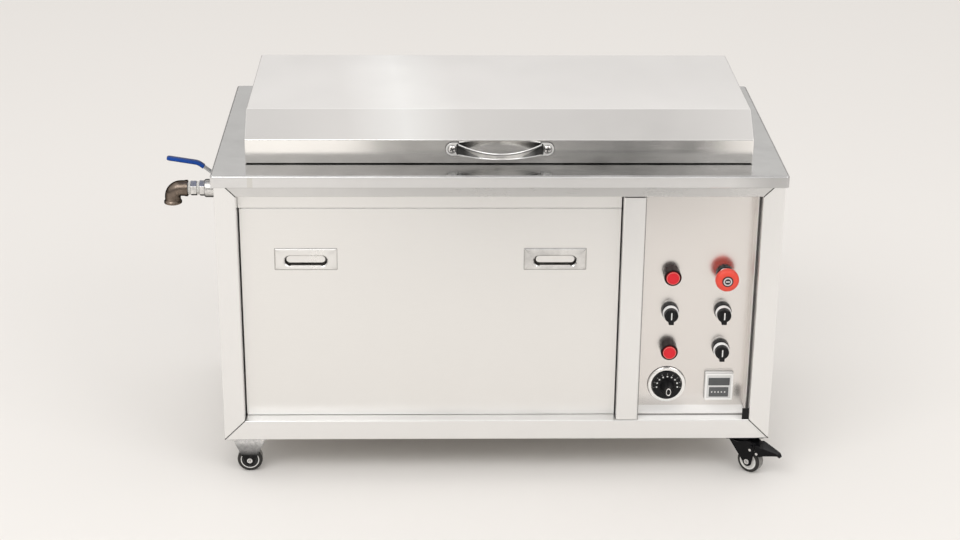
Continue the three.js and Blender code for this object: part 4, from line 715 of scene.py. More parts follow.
class CleanerColours(bpy.types.PropertyGroup):
    """Colours of the finishes that a user may want to swap."""

    sleeve: FloatVectorProperty(
        name="Lever sleeve", description="Colour of the vinyl sleeve on the drain lever",
        subtype="COLOR", size=3, min=0.0, max=1.0, default=(0.010, 0.07, 0.36),
    )
    button: FloatVectorProperty(
        name="Push buttons", description="Colour of the two push button caps",
        subtype="COLOR", size=3, min=0.0, max=1.0, default=(0.76, 0.016, 0.03),
    )
    stop: FloatVectorProperty(
        name="Emergency stop", description="Colour of the emergency stop head",
        subtype="COLOR", size=3, min=0.0, max=1.0, default=(0.86, 0.085, 0.055),
    )
    backdrop: FloatVectorProperty(
        name="Backdrop", description="Colour of the floor and the backdrop",
        subtype="COLOR", size=3, min=0.0, max=1.0, default=(0.805, 0.781, 0.753),
    )


def sizes():
    return bpy.context.scene.cleaner_sizes


def colours():
    return bpy.context.scene.cleaner_colours


# Main planes of the cabinet

PLAY = 0.3
BODY_HALF, BODY_BACK = 475.0, 493.0
FRAME_LOW, FRAME_HIGH, TUBE = 72.0, 559.0, 36.0
RAIL_TOP, RAIL_UNDER = FRAME_LOW + TUBE, FRAME_HIGH - TUBE
OPENING_HALF, REAR_FACE = BODY_HALF - TUBE, BODY_BACK - TUBE
POST_LEFT, POST_RIGHT = 207.0, 243.0
DOOR_LEFT, DOOR_RIGHT, DOOR_LOW, DOOR_HIGH = -437.0, 205.0, 108.4, 494.0
DOOR_FRONT, DOOR_BACK = 24.0, 42.0
PANEL_LEFT, PANEL_RIGHT, PANEL_LOW, PANEL_HIGH = 243.3, 435.5, 111.5, 522.7
PANEL_FRONT, PANEL_FACE = 19.0, 50.0
DECK_LOW, DECK_HIGH, DECK_CORNER = (-480.0, -5.0), (480.0, 498.0), 6.0
DECK_TOP, LIP_LOW = 561.8, 540.8
BATH_LOW, BATH_HIGH, BATH_CORNER = (-395.0, 112.0), (395.0, 412.0), 22.0
BATH_FLOOR, BATH_UNDER = 383.3, 381.3
LID_HALF, LID_FRONT, LID_REAR, LID_LOW, LID_TOP = 426.0, 55.0, 427.0, 563.8, 642.3
FASCIA_TOP, SLOPE_BACK = 604.3, 107.0
LEFT_COLUMN, RIGHT_COLUMN = 298.0, 389.5
ROWS = (364.5, 294.5, 224.5, 154.5)
DRAIN_Y, DRAIN_Z = 375.0, 401.3
STEM_X = -513.5
# The right pull's steel is darker with bright smudges: painted reflections
PULLS = (("left_pull", -327.0, "pull steel"), ("right_pull", 95.0, "patched steel"))
PULL_Z, SLOT_Z = 402.5, 399.5


def on_panel(column, row):
    return (column, PANEL_FACE, row)


def facing(profile, centre, steps=64, radius=0.0, segments=2):
    """A control's part, turned about an axis that comes straight out of the panel."""
    return turned(profile, TO_FRONT, centre, steps, radius, segments)


# Pieces: each operator builds one piece or one group


class CLEANER_OT_frame(bpy.types.Operator):
    """Builds the welded frame of square tubes with its mitred front"""

    bl_idname = "cleaner.frame"
    bl_label = "Frame tubes"

    def execute(self, context):
        edge, half = sizes().tube_edge, sizes().seam_gap / 2
        for node, outer, inner, steel in (
            # The top rail's darker finish paints the shade of the lip above it
            ("front_top_rail", FRAME_HIGH, RAIL_UNDER, "top rail steel"),
            ("front_bottom_rail", FRAME_LOW, RAIL_TOP, "frame rail steel"),
        ):
            points = [(-BODY_HALF + half, outer), (BODY_HALF - half, outer),
                      (OPENING_HALF - half, inner), (-OPENING_HALF + half, inner)]
            piece(node, [(edges_along(prism(points, "back", 0.0, TUBE), RIGHT, edge), steel)])
        for node, side in (("front_left_post", -1), ("front_right_post", 1)):
            outer, inner = side * BODY_HALF, side * OPENING_HALF
            points = [(outer, FRAME_LOW + half), (outer, FRAME_HIGH - half),
                      (inner, RAIL_UNDER - half), (inner, RAIL_TOP + half)]
            parts = [(edges_along(prism(points, "back", 0.0, TUBE), UP, edge), "frame post steel")]
            for far, near in ((FRAME_LOW + 0.6, RAIL_TOP), (FRAME_HIGH - 0.6, RAIL_UNDER)):
                seam = [(outer, far - half), (inner, near - half), (inner, near + half), (outer, far + half)]
                parts.append((prism(seam, "back", 0.15, 3.0), "shadow line"))
            piece(node, parts)
        high = FRAME_HIGH - PLAY
        for node, low, high, axis, steel in (
            ("centre_post", (POST_LEFT, 0.0, RAIL_TOP + half), (POST_RIGHT, TUBE, RAIL_UNDER - half),
             UP, "frame post steel"),
            ("rear_left_post", (-BODY_HALF, REAR_FACE, FRAME_LOW), (-OPENING_HALF, BODY_BACK, high),
             UP, "frame post steel"),
            ("rear_right_post", (OPENING_HALF, REAR_FACE, FRAME_LOW), (BODY_HALF, BODY_BACK, high),
             UP, "frame post steel"),
            ("rear_bottom_rail", (-OPENING_HALF + PLAY, REAR_FACE, FRAME_LOW),
             (OPENING_HALF - PLAY, BODY_BACK, RAIL_TOP), RIGHT, "frame rail steel"),
        ):
            piece(node, [(edges_along(block(low, high), axis, edge), steel)])
        return {"FINISHED"}


class CLEANER_OT_sheets(bpy.types.Operator):
    """Builds the side panels, the louvred rear panel, the floor pan and the cable gland"""

    bl_idname = "cleaner.sheets"
    bl_label = "Side, rear and floor sheets"

    def execute(self, context):
        edge, flange, high = sizes().sheet_edge, 14.0, FRAME_HIGH - PLAY
        front, rear = TUBE + PLAY, REAR_FACE - PLAY
        for node, side in (("left_side_panel", -1), ("right_side_panel", 1)):
            trays = folded((front, FRAME_LOW), (rear, high), "across",
                           side * BODY_HALF, side * (BODY_HALF - flange), edge)
            piece(node, [(t, "side steel") for t in trays])
        louvres = [(x, z) for x in (-319.0, 319.0) for z in (499.0, 475.0, 451.0)]
        half = OPENING_HALF - PLAY
        trays = folded((-half, RAIL_TOP + PLAY), (half, high), "back", BODY_BACK, BODY_BACK - flange, edge,
                       [stadium(at, 90.0, 5.0) for at in louvres])
        parts = [(t, "side steel") for t in trays]
        # Black curved strips behind the slots paint the shade inside the louvres
        arc = ((0.0, -3.6), (-2.2, -3.4), (-3.4, -1.6), (-3.4, 1.2), (-2.0, 3.2), (0.0, 3.6))
        for x, z in louvres:
            points = [(BODY_BACK - 1.4 + a * 1.6, z + b) for a, b in arc]
            parts.append((prism(points, "across", x - 42.0, x + 42.0), "louvre shade"))
        piece("rear_panel", parts)
        trays = folded((-460.7, front), (460.7, rear), "up", FRAME_LOW, 92.0, edge)
        piece("floor_pan", [(t, "side steel") for t in trays])
        centre = (369.0, BODY_BACK, 170.0)
        profile = [(0, 5), (10.5, 5), (10.5, 11), (10.0, 13.0), (7.6, 16.0), (7.0, 21), (4.5, 21),
                   (4.5, 14), (0, 14)]
        shapes = (hexagon(24.0, BACK, centre, 0.0, 5.0), turned(profile, BACK, centre, 40, 0.4))
        piece("cable_gland", [(shape, "black moulding") for shape in shapes])
        return {"FINISHED"}


class CLEANER_OT_deck(bpy.types.Operator):
    """Builds the top deck with its folded lip, and the welded seam on the lip"""

    bl_idname = "cleaner.deck"
    bl_label = "Deck"

    def execute(self, context):
        sheet, fold, seam_x = 2.5, 4.0, -414.0
        skin = [(sheet, LIP_LOW), (2.1, LIP_LOW), (0.4, LIP_LOW), (0.0, LIP_LOW + 0.5)]
        skin += [(inset, DECK_TOP - fold + rise) for inset, rise in quarter(fold, 6)]
        under = [(5.5, DECK_TOP - sheet), (sheet, DECK_TOP - 5.5)]
        loops = insets(DECK_LOW, DECK_HIGH, DECK_CORNER, "up", skin)
        loops += insets(BATH_LOW, BATH_HIGH, BATH_CORNER, "up", [(0.0, DECK_TOP), (0.0, DECK_TOP - sheet)])
        loops += insets(DECK_LOW, DECK_HIGH, DECK_CORNER, "up", under)
        deck = lofted(loops, closed=True)
        deck.normal_update()
        # The lip's finish darkens towards its right end: painted reflection
        lip = (lambda face: abs(face.normal.z) < 0.5, "lip steel")
        front = DECK_LOW[1]
        bead = block((seam_x - 4.5, front - 0.02, LIP_LOW + 0.8), (seam_x + 4.5, front + 0.6, DECK_TOP - 3.4))
        piece("deck", [(deck, "deck steel", lip), (bead, "weld bead")])
        return {"FINISHED"}


class CLEANER_OT_lid(bpy.types.Operator):
    """Builds the folded lid with its sloping front"""

    bl_idname = "cleaner.lid"
    bl_label = "Lid"

    def execute(self, context):
        outline = [(LID_FRONT, LID_LOW), (LID_FRONT, FASCIA_TOP), (SLOPE_BACK, LID_TOP),
                   (LID_REAR, LID_TOP), (LID_REAR, LID_LOW)]
        shape = prism(outline, "across", -LID_HALF, LID_HALF)
        floor = [f for f in shape.faces if f.normal.z < -0.9]
        bmesh.ops.delete(shape, geom=floor, context="FACES_ONLY")
        softened(shape, 1.4, 3, math.radians(20.0))
        bmesh.ops.recalc_face_normals(shape, faces=shape.faces)
        bmesh.ops.solidify(shape, geom=shape.faces[:], thickness=1.4)
        shape.normal_update()
        fascia = (lambda face: face.normal.y < -0.95, "fascia steel")
        # The lid steel is lighter in one band across the lid: painted reflection
        piece("lid", [(shape, "lid steel", fascia)], "lid", nodes=["lid_shell"])
        return {"FINISHED"}


class CLEANER_OT_door(bpy.types.Operator):
    """Builds the lift-off door sheet and the header strip above it"""

    bl_idname = "cleaner.door"
    bl_label = "Door and header"

    def execute(self, context):
        holes = [stadium((x, SLOT_Z), 84.0, 30.0) for _, x, _ in PULLS]
        trays = folded((DOOR_LEFT, DOOR_LOW), (DOOR_RIGHT, DOOR_HIGH), "back",
                       DOOR_FRONT, DOOR_BACK, 1.4, holes)
        piece("door", [(t, "door steel") for t in trays], "door", nodes=["door_panel"])
        low, high = (-OPENING_HALF + PLAY, DOOR_FRONT, DOOR_HIGH + 0.7), (DOOR_RIGHT, TUBE, RAIL_UNDER - PLAY)
        piece("door_header", [(block(low, high, 0.6, 3), "door steel")])
        return {"FINISHED"}


class CLEANER_OT_pulls(bpy.types.Operator):
    """Builds the two flush pulls of the door"""

    bl_idname = "cleaner.pulls"
    bl_label = "Flush pulls"

    # Length, height and depth of each ring of the bowl, from its mouth to its back and out again
    BOWL = (
        (72.2, 18.7, 23.5), (74.0, 20.0, 25.0), (82.0, 28.0, 27.0), (84.0, 30.0, 30.0),
        (84.0, 30.0, 43.0), (78.0, 24.0, 47.7), (76.0, 22.0, 46.5), (82.0, 28.0, 42.0),
        (82.0, 28.0, 30.0), (80.0, 26.0, 28.0), (73.0, 19.5, 25.6), (72.4, 18.9, 24.5),
    )

    def execute(self, context):
        tongue_z = SLOT_Z + 2.95
        for node, x, metal in PULLS:
            slot = (x, SLOT_Z)
            outer, border = centred((x, PULL_Z), 52.5, 19.0, 1.2, 8), centred((x, PULL_Z), 53.2, 19.7, 1.6, 8)
            plate = framed(outer, stadium(slot, 72.0, 18.5), "back", 21.7, 23.7)
            rims = [e for e in sharp_edges(plate, 0.5) if max(v.co.y for v in e.verts) < 22.0]
            bevelled(plate, rims, 1.7, 1)
            # A dark outline round the plate paints the shade of the gap at its edge
            line = framed(border, stadium(slot, 74.0, 20.0), "back", 23.4, 23.95)
            bowl = lofted([laid(stadium(slot, a, b), "back", y) for a, b, y in self.BOWL], capped=False)
            tongue = prism(stadium((x, tongue_z), 65.6, 12.4), "back", 23.0, 24.4, 0.5)
            bmesh.ops.rotate(
                tongue, verts=tongue.verts, cent=(x, 23.0, tongue_z + 6.0),
                matrix=Matrix.Rotation(math.radians(4.0), 3, "X"),
            )
            piece(node, [
                (plate, metal), (line, "soft line"), (bowl, "bowl steel"),
                (prism(stadium(slot, 76.0, 22.0), "back", 46.0, 47.7), "bowl steel"), (tongue, "pull steel"),
                (prism(stadium((x, SLOT_Z - 9.0), 52.0, 2.6, 6), "back", 22.4, 27.0, 0.5), "pull steel"),
            ], "door")
        return {"FINISHED"}


class CLEANER_OT_lid_handle(bpy.types.Operator):
    """Builds the bowed grab handle of the lid and its two screws"""

    bl_idname = "cleaner.lid_handle"
    bl_label = "Lid handle"

    def execute(self, context):
        front, z, foot, half, screw_x = LID_FRONT - PLAY, 588.8, 11.5, 72.25, 80.0

        def tall(share):
            """Height of the bow at a share from -1 to 1: greatest at the feet."""
            return 10.5 + 9.5 * share ** 2

        parts = []
        for sign in (-1, 1):
            turns = (math.pi * i / 16 for i in range(17))
            points = [(sign * 69.25, z - foot), (sign * 69.25, z + foot)]
            points += [(sign * (79.25 + foot * math.sin(a)), z + foot * math.cos(a)) for a in turns]
            parts.append((prism(points, "back", front - 2.5, front, 0.6), "foot steel"))
            rim = [(a + math.copysign(0.9, a - sign * screw_x), z + (b - z) * 1.08) for a, b in points]
            parts.append((prism(rim, "back", front - 0.8, front - 0.1), "shadow line"))
        shares = [i / 24 - 1 for i in range(49)]
        route = [(half * share, front - 1.5 - 39.0 * (1 - share * share), z) for share in shares]

        def band(way):
            return [(1.7 * a, tall(2 * way - 1) / 2 * b) for a, b in circle(1.0, 28)]

        # The band's steel darkens towards its feet: painted reflection
        parts.append((swept(band, route), "handle steel"))
        # Thin rods of paler steel along both edges paint the band's highlight lines
        for sign in (-1, 1):
            edge = [(x, y - 0.4, z + sign * (tall(x / half) / 2 - 0.9)) for x, y, z in route[1:-1]]
            parts.append((swept(circle(1.15, 12), edge), "bezel steel"))
        places = [(sign * screw_x, front - 2.4, z) for sign in (-1, 1)]
        parts += screws(places, TO_FRONT, 6.6, 2.6, "polished steel")
        parts += [(facing(sleeve(6.5, 7.6, 0.0, 0.7), place, 40, 0.2), "slot grey") for place in places]
        piece("lid_handle", parts, "lid")
        return {"FINISHED"}


class CLEANER_OT_hinge(bpy.types.Operator):
    """Builds the long hinge behind the lid, its two leaves and their screws"""

    bl_idname = "cleaner.hinge"
    bl_label = "Lid hinge"

    def execute(self, context):
        half, count, y, z = 351.0, 11, 430.8, 565.6
        pitch = 2 * half / count
        leaves = [
            [(block((-half, y + 1.5, 562.0), (half, 460.3, 563.2), 0.3), "satin steel")],
            [(block((-half, 427.4, z + 2.0), (half, 428.6, 595.1), 0.3), "satin steel")],
        ]
        for i in range(count):
            start, end = -half + i * pitch + 0.4, -half + (i + 1) * pitch - 0.4
            leaves[i % 2].append((turned(rod(3.5, start, end), RIGHT, (0, y, z), 24, 0.4), "satin steel"))
        places = [x * half / 6 for x in (-5, -3, -1, 1, 3, 5)]
        leaves[0] += screws([(x, 448.0, 563.1) for x in places], UP, 3.4, 1.4, "satin steel")
        leaves[1] += screws([(x, 428.5, 584.0) for x in places], BACK, 3.4, 1.4, "satin steel")
        piece("hinge_fixed_leaf", leaves[0])
        piece("hinge_moving_leaf", leaves[1], "lid")
        return {"FINISHED"}


class CLEANER_OT_tank(bpy.types.Operator):
    """Builds the deep-drawn bath with its round corners and its flange"""

    bl_idname = "cleaner.tank"
    bl_label = "Tank"

    def execute(self, context):
        bend, steps = 12.0, 6
        inside = [(-15.0, 557.5), (-15.0, 559.0), (-1.5, 559.0), (-0.4, 558.6), (0.0, 557.0)]
        inside += [(inset, BATH_FLOOR + bend - rise) for inset, rise in quarter(bend, steps)]
        outside = [(bend, BATH_UNDER), (0.0, BATH_UNDER + 0.5), (-2.0, 384.0), (-2.0, 557.5)]
        shapes = [
            lofted(insets(BATH_LOW, BATH_HIGH, BATH_CORNER, "up", rings, steps), capped=False)
            for rings in (inside, outside)
        ]
        floor = inset_rectangle(BATH_LOW, BATH_HIGH, BATH_CORNER, bend, steps)
        shapes.append(prism(floor, "up", BATH_FLOOR, BATH_UNDER))
        piece("tank", [(shape, "polished steel") for shape in shapes])
        return {"FINISHED"}


class CLEANER_OT_panel(bpy.types.Operator):
    """Builds the recessed control panel with its walls, its ledge and a black block at its corner that paints
    the shade of the open notch
    """

    bl_idname = "cleaner.panel"
    bl_label = "Control panel"

    def execute(self, context):
        sheet, deep, wall_low = 1.5, PANEL_FACE + 0.4, PANEL_LOW + 5.5
        left, right, front, low, high = PANEL_LEFT, PANEL_RIGHT, PANEL_FRONT, PANEL_LOW, PANEL_HIGH
        outer, rim = [(left, low), (right, low), (right, high), (left, high)], circle(11.0, 32)
        holes = [[(x + a, z + b) for a, b in rim] for z in ROWS for x in (LEFT_COLUMN, RIGHT_COLUMN)]
        # The last place is the timer's, which has no hole behind it
        face = pierced(outer, holes[:-1], "back", PANEL_FACE, PANEL_FACE + sheet)
        parts = [(face, "panel steel")]
        for start, end, radius, metal in (
            ((left, front, low), (right, deep, low + sheet), 0.4, "panel wall steel"),
            ((left, front, high - sheet), (right, deep, high), 0.4, "panel wall steel"),
            ((left, front, low), (left + sheet, deep, high), 0.4, "panel wall steel"),
            ((right - sheet, front, wall_low), (right, deep, high), 0.4, "panel edge steel"),
            # The white ledge and the white cover on the rail top paint the highlight on the lit ledge
            ((left + sheet, front + 0.1, low + 1.2), (right - sheet, PANEL_FACE, low + 1.6),
             0.0, "ledge steel"),
            ((left, 0.9, RAIL_TOP - 0.2), (OPENING_HALF - 0.4, front - 0.2, RAIL_TOP + 0.15),
             0.0, "ledge steel"),
            # A dark grey strip paints the shade in the gap right of the panel
            ((right - 0.4, front + 6.0, wall_low), (OPENING_HALF - PLAY, front + 7.5, high),
             0.0, "slot grey"),
            # A black block paints the shade of the open notch at the lower right corner
            ((426.8, 2.0, RAIL_TOP + 0.2), (OPENING_HALF - PLAY, 3.6, 129.5), 0.5, "black moulding"),
            # Dark strips along the left wall and under the ledge paint the shade in those gaps
            ((left, 1.0, RAIL_TOP + PLAY), (left + 1.3, 2.0, high), 0.2, "soft line"),
            ((left, front + 0.3, RAIL_TOP + 0.1), (right, front + 1.5, low + 0.2), 0.0, "soft line"),
        ):
            parts.append((block(start, end, radius), metal))
        piece("control_panel", parts)
        return {"FINISHED"}


class CLEANER_OT_buttons(bpy.types.Operator):
    """Builds the two push buttons with their black collars and glossy caps"""

    bl_idname = "cleaner.buttons"
    bl_label = "Push buttons"

    def execute(self, context):
        for node, row in (("upper_button", ROWS[0]), ("lower_button", ROWS[2])):
            centre = on_panel(LEFT_COLUMN, row)
            profile = [(11.9, 0.2), (14.9, 0.2), (14.9, 20.2), (14.2, 21.4), (11.9, 21.4)]
            collar = facing(profile, centre, 64, 0.5, 3)
            piece(f"{node}_collar", [(collar, "black gloss")], nodes=[f"{node}_bezel"])
            cap = facing([(0, 4), (11.6, 4), (11.6, 22.4), (11.1, 23.5), (0, 23.5)], centre, 64, 0.3, 3)
            rim = facing([(10.2, 23.4), (11.3, 23.3), (11.0, 23.7), (10.4, 23.7)], centre)
            piece(f"{node}_cap", [(cap, "red lens"), (rim, "red pale rim")], node)
        return {"FINISHED"}


class CLEANER_OT_stop(bpy.types.Operator):
    """Builds the emergency stop: ringed base, neck and mushroom head"""

    bl_idname = "cleaner.emergency_stop"
    bl_label = "Emergency stop"

    def execute(self, context):
        x, y, z = centre = on_panel(RIGHT_COLUMN, ROWS[0])
        base = [(0, 0.2), (14.7, 0.2), (14.7, 7.2), (13.8, 8.0), (12.2, 8.0), (12.2, 13.2), (10.7, 13.2),
                (10.7, 8.0), (0, 8.0)]
        piece("emergency_stop_base", [
            (facing(base, centre, 64, 0.3), "black moulding"),
            (facing(sleeve(11.9, 13.4, 7.8, 10.4), centre, 64, 0.4), "bezel steel"),
        ], nodes=["estop_base"])
        head = [(0, 18.0), (12.0, 18.0), (12.6, 22.5), (18.6, 24.2), (20.2, 26.0), (20.2, 31.0), (19.6, 33.6),
                (17.8, 35.8), (15.0, 37.2), (11.0, 37.9), (9.7, 37.2), (0, 37.2)]
        piece("emergency_stop_head", [
            (facing(head, centre, 72, 0.5, 3), "stop red"),
            (facing(rod(10.3, 13.0, 18.2), centre, 48, 0.3), "bezel steel"),
            (facing(rod(9.4, 37.0, 37.9), centre, 48, 0.3), "stop disc"),
            (facing(sleeve(5.2, 7.4, 37.85, 38.0), centre, 48), "mark pale"),
            (block((x - 3.4, y - 38.0, z - 1.3), (x + 3.4, y - 37.8, z + 1.3)), "mark pale"),
        ], "emergency_stop", ["estop_head"])
        return {"FINISHED"}


class CLEANER_OT_selectors(bpy.types.Operator):
    """Builds the three selector switches with their ringed bezels and barred knobs"""

    bl_idname = "cleaner.selectors"
    bl_label = "Selector switches"

    def execute(self, context):
        base = [(0, 0.2), (15.0, 0.2), (15.0, 7.6), (14.2, 9.0), (0, 9.0)]
        # The ring's plain white paints its bright highlight
        ring = [(12.2, 8.9), (13.9, 8.9), (13.9, 14.6), (12.8, 16.4), (12.2, 16.4)]
        disc = [(0, 9.2), (12.0, 9.2), (12.0, 24.4), (11.2, 25.6), (0, 25.6)]
        for node, column, row in (
            ("left_selector", LEFT_COLUMN, ROWS[1]), ("upper_selector", RIGHT_COLUMN, ROWS[1]),
            ("lower_selector", RIGHT_COLUMN, ROWS[2]),
        ):
            x, y, z = centre = on_panel(column, row)
            piece(f"{node}_bezel", [
                (facing(base, centre, 64, 0.4), "black moulding"),
                (facing(ring, centre, 64, 0.3), "pale ring"),
            ])
            piece(f"{node}_knob", [
                (facing(disc, centre, 64, 0.5, 3), "black moulding"),
                (block((x - 4.5, y - 28.0, z - 15.2), (x + 4.5, y - 12.0, z + 11.4), 1.0, 3),
                 "black moulding"),
                (block((x - 1.0, y - 28.12, z - 5.5), (x + 1.0, y - 27.9, z + 7.5)), "mark white"),
            ], node)
        return {"FINISHED"}


class CLEANER_OT_dial(bpy.types.Operator):
    """Builds the power dial: bright bezel, dotted scale, and the knob with its grip"""

    bl_idname = "cleaner.dial"
    bl_label = "Power dial"

    def execute(self, context):
        x, y, z = centre = on_panel(LEFT_COLUMN, ROWS[3])
        bezel = [(26.4, 0.2), (33.2, 0.2), (33.2, 2.6), (32.6, 4.0), (31.8, 4.5), (27.2, 4.5), (26.4, 3.8)]
        piece("dial_bezel", [
            (facing(bezel, centre, 96, 0.3, 3), "bezel steel"),
            (facing(sleeve(32.0, 33.8, 0.1, 0.9), centre, 96, 0.2), "shadow line"),
        ])
        disc = [(0, 2.2), (25.4, 2.2), (25.8, 3.4), (25.8, 8.6), (25.0, 10.0), (0, 10.0)]
        parts = [(facing(disc, centre, 96, 0.4, 3), "black moulding"), (self.grip(x, y, z), "black moulding")]
        count, sweep = sizes().dial_marks, 192
        for i in range(count):
            turn = math.radians(-sweep / 2 + sweep * i / (count - 1))
            across, rise = math.sin(turn), math.cos(turn)
            dot = (x + 18.3 * across, y - 9.98, z + 18.3 * rise)
            number = (x + 23.0 * across, y - 10.1, z + 23.0 * rise)
            parts.append((facing(rod(1.4, 0, 0.12), dot, 16), "mark white"))
            parts.append((figure(str(i + 1), 3.6, number, -turn), "mark dim"))
        ring = [[(x + a * 4.4 * w, y - d, z + b * 7.6 * w) for a, b in circle(1.0, 40)]
                for w, d in ((1.0, 34.4), (0.95, 35.0), (0.74, 35.0), (0.68, 34.4))]
        parts.append((lofted(ring, closed=True), "bezel steel"))
        piece("dial_knob", parts, "dial")
        return {"FINISHED"}

    def grip(self, x, y, z):
        """A grip that narrows from a round foot to a slim, squarer top."""
        loops = []
        for i in range(9):
            t = i / 8
            half, tall = 13.0 - 8.5 * t ** 0.7, 13.0 - 5.0 * t ** 0.7
            loops.append([
                (x + half * math.copysign(abs(a) ** (1 - 0.6 * t), a), y - 9.9 - 24.7 * t,
                 z + tall * math.copysign(abs(b) ** (1 - 0.5 * t), b))
                for a, b in circle(1.0, 48)
            ])
        return lofted(loops)


class CLEANER_OT_timer(bpy.types.Operator):
    """Builds the digital timer: framed front, display window and keypad"""

    bl_idname = "cleaner.timer"
    bl_label = "Digital timer"

    def execute(self, context):
        x, y, z = on_panel(RIGHT_COLUMN, ROWS[3])

        def outline(half, low, high, radius, steps=4):
            return rounded_rectangle((x - half, z + low), (x + half, z + high), radius, steps)

        outer = outline(24.4, -27.0, 24.0, 1.4)
        openings = [outline(18.8, 0.6, 15.4, 0.8, 3), outline(17.2, -21.4, -2.6, 0.8, 3)]
        border = outline(25.2, -27.8, 24.8, 1.8)
        parts = [
            (pierced(outer, openings, "back", y - 9.4, y - 8.0, 0.2), "timer face"),
            (framed(outer, outline(21.4, -24.2, 20.4, 0.8), "back", y - 10.0, y - 0.3, 0.5), "grey moulding"),
            (prism(outline(22.25, -22.25, 22.25, 1.0), "back", y - 8.0, y + 62.0, 0.6), "grey moulding"),
            # A dark border round the frame paints the shade line where the timer meets the panel
            (framed(border, outline(22.5, -25.5, 22.5, 0.8), "back", y - 0.7, y - 0.2), "soft line"),
            (block((x - 19.4, y - 8.9, z + 0.2), (x + 19.4, y - 8.2, z + 15.8), 0.1), "display window"),
            (block((x - 17.8, y - 8.9, z - 22.0), (x + 17.8, y - 8.2, z - 2.2), 0.1), "keypad film"),
        ]
        for column in (-12.0, -6.3, -0.6, 5.1, 10.8):
            parts.append((facing(rod(1.3, 0, 0.2), (x + column, y - 8.9, z - 12.3), 16), "mark white"))
        piece("digital_timer", parts, nodes=["timer_case"])
        return {"FINISHED"}


class CLEANER_OT_drain(bpy.types.Operator):
    """Builds the drain pipework: nipple, ball valve, hex nipple and elbow"""

    bl_idname = "cleaner.drain"
    bl_label = "Drain pipework"

    def execute(self, context):
        axis, centre = (-1, 0, 0), (0, DRAIN_Y, DRAIN_Z)

        def spun(profile, radius=0.0):
            return turned(profile, axis, centre, 64, radius)

        def nut(across, start, end):
            return (hexagon(across, axis, centre, start, end, math.radians(30), 0.8), "fitting steel")

        parts = [(spun(sleeve(9.5, 12.4, 394.6, 490.0)), "fitting steel"),
                 (spun(sleeve(12.3, 16.0, 397.3, 403.3), 0.6), "satin steel")]
        for start in (478.0, 480.4):
            parts.append((spun(sleeve(12.3, 12.9, start, start + 2.0), 0.2), "sealing tape"))
        piece("drain_nipple", parts)
        barrel = [(11.0, 492.0), (15.6, 492.0), (17.0, 494.4), (17.0, 532.6), (15.6, 535.0), (11.0, 535.0)]
        stem = [(0, 12), (9.0, 12), (9.0, 24.8), (8.2, 26.0), (0, 26.0)]
        piece("ball_valve", [
            (spun(barrel, 0.8), "fitting steel"), nut(26.5, 483.0, 494.4), nut(26.5, 532.6, 544.0),
            (turned(stem, UP, (STEM_X, DRAIN_Y, DRAIN_Z), 48, 0.3), "satin steel"),
        ], nodes=["valve_body"])
        parts = [nut(25.4, 549.3, 560.6)]
        for start, end in ((544.1, 549.4), (560.5, 565.8)):
            thread, count = [(9.0, start), (11.6, start)], 4
            pitch = (end - start - 0.4) / count
            for i in range(count):
                low = start + 0.2 + pitch * i
                thread += [(12.1, low + 0.2), (12.1, low + pitch - 0.4), (11.8, low + pitch - 0.1)]
            parts.append((spun([*thread, (11.6, end), (9.0, end)]), "sealing tape"))
        piece("hex_nipple", parts)
        piece("drain_elbow", [(self.elbow(), "bronzed iron")])
        return {"FINISHED"}

    def elbow(self):
        """A threaded elbow from level to straight down, with a bead at its mouth and an open bore."""
        face, out_x, bend, outer, bore = -565.9, -594.9, 16.0, 14.6, 11.0

        def ring(x, drop, turn, radius):
            a = math.radians(turn)
            return [(x - math.sin(a) * v, DRAIN_Y + u, DRAIN_Z - drop + math.cos(a) * v)
                    for u, v in circle(radius, 48)]

        def level(*rows):
            return [ring(face - depth, 0.0, 0.0, radius) for depth, radius in rows]

        def curved(turns, radius):
            return [ring(out_x + bend * (1 - math.sin(math.radians(turn))),
                         bend * (1 - math.cos(math.radians(turn))), turn, radius) for turn in turns]

        def upright(*rows):
            return [ring(out_x, drop, 90.0, radius) for drop, radius in rows]

        loops = level((0.0, outer), (0.8, 15.4), (5.0, 15.4), (6.4, 14.7), (10.0, outer))
        loops += curved(range(0, 91, 10), outer)
        loops += upright((22.4, outer), (24.0, 15.8), (24.8, 16.5), (26.5, 16.6), (28.4, 16.4), (29.0, 15.4))
        loops += upright((29.0, 11.4), (28.2, bore), (20.0, bore)) + curved(range(80, -1, -10), bore)
        return lofted(loops + level((9.0, bore), (0.0, 12.4)), closed=True)


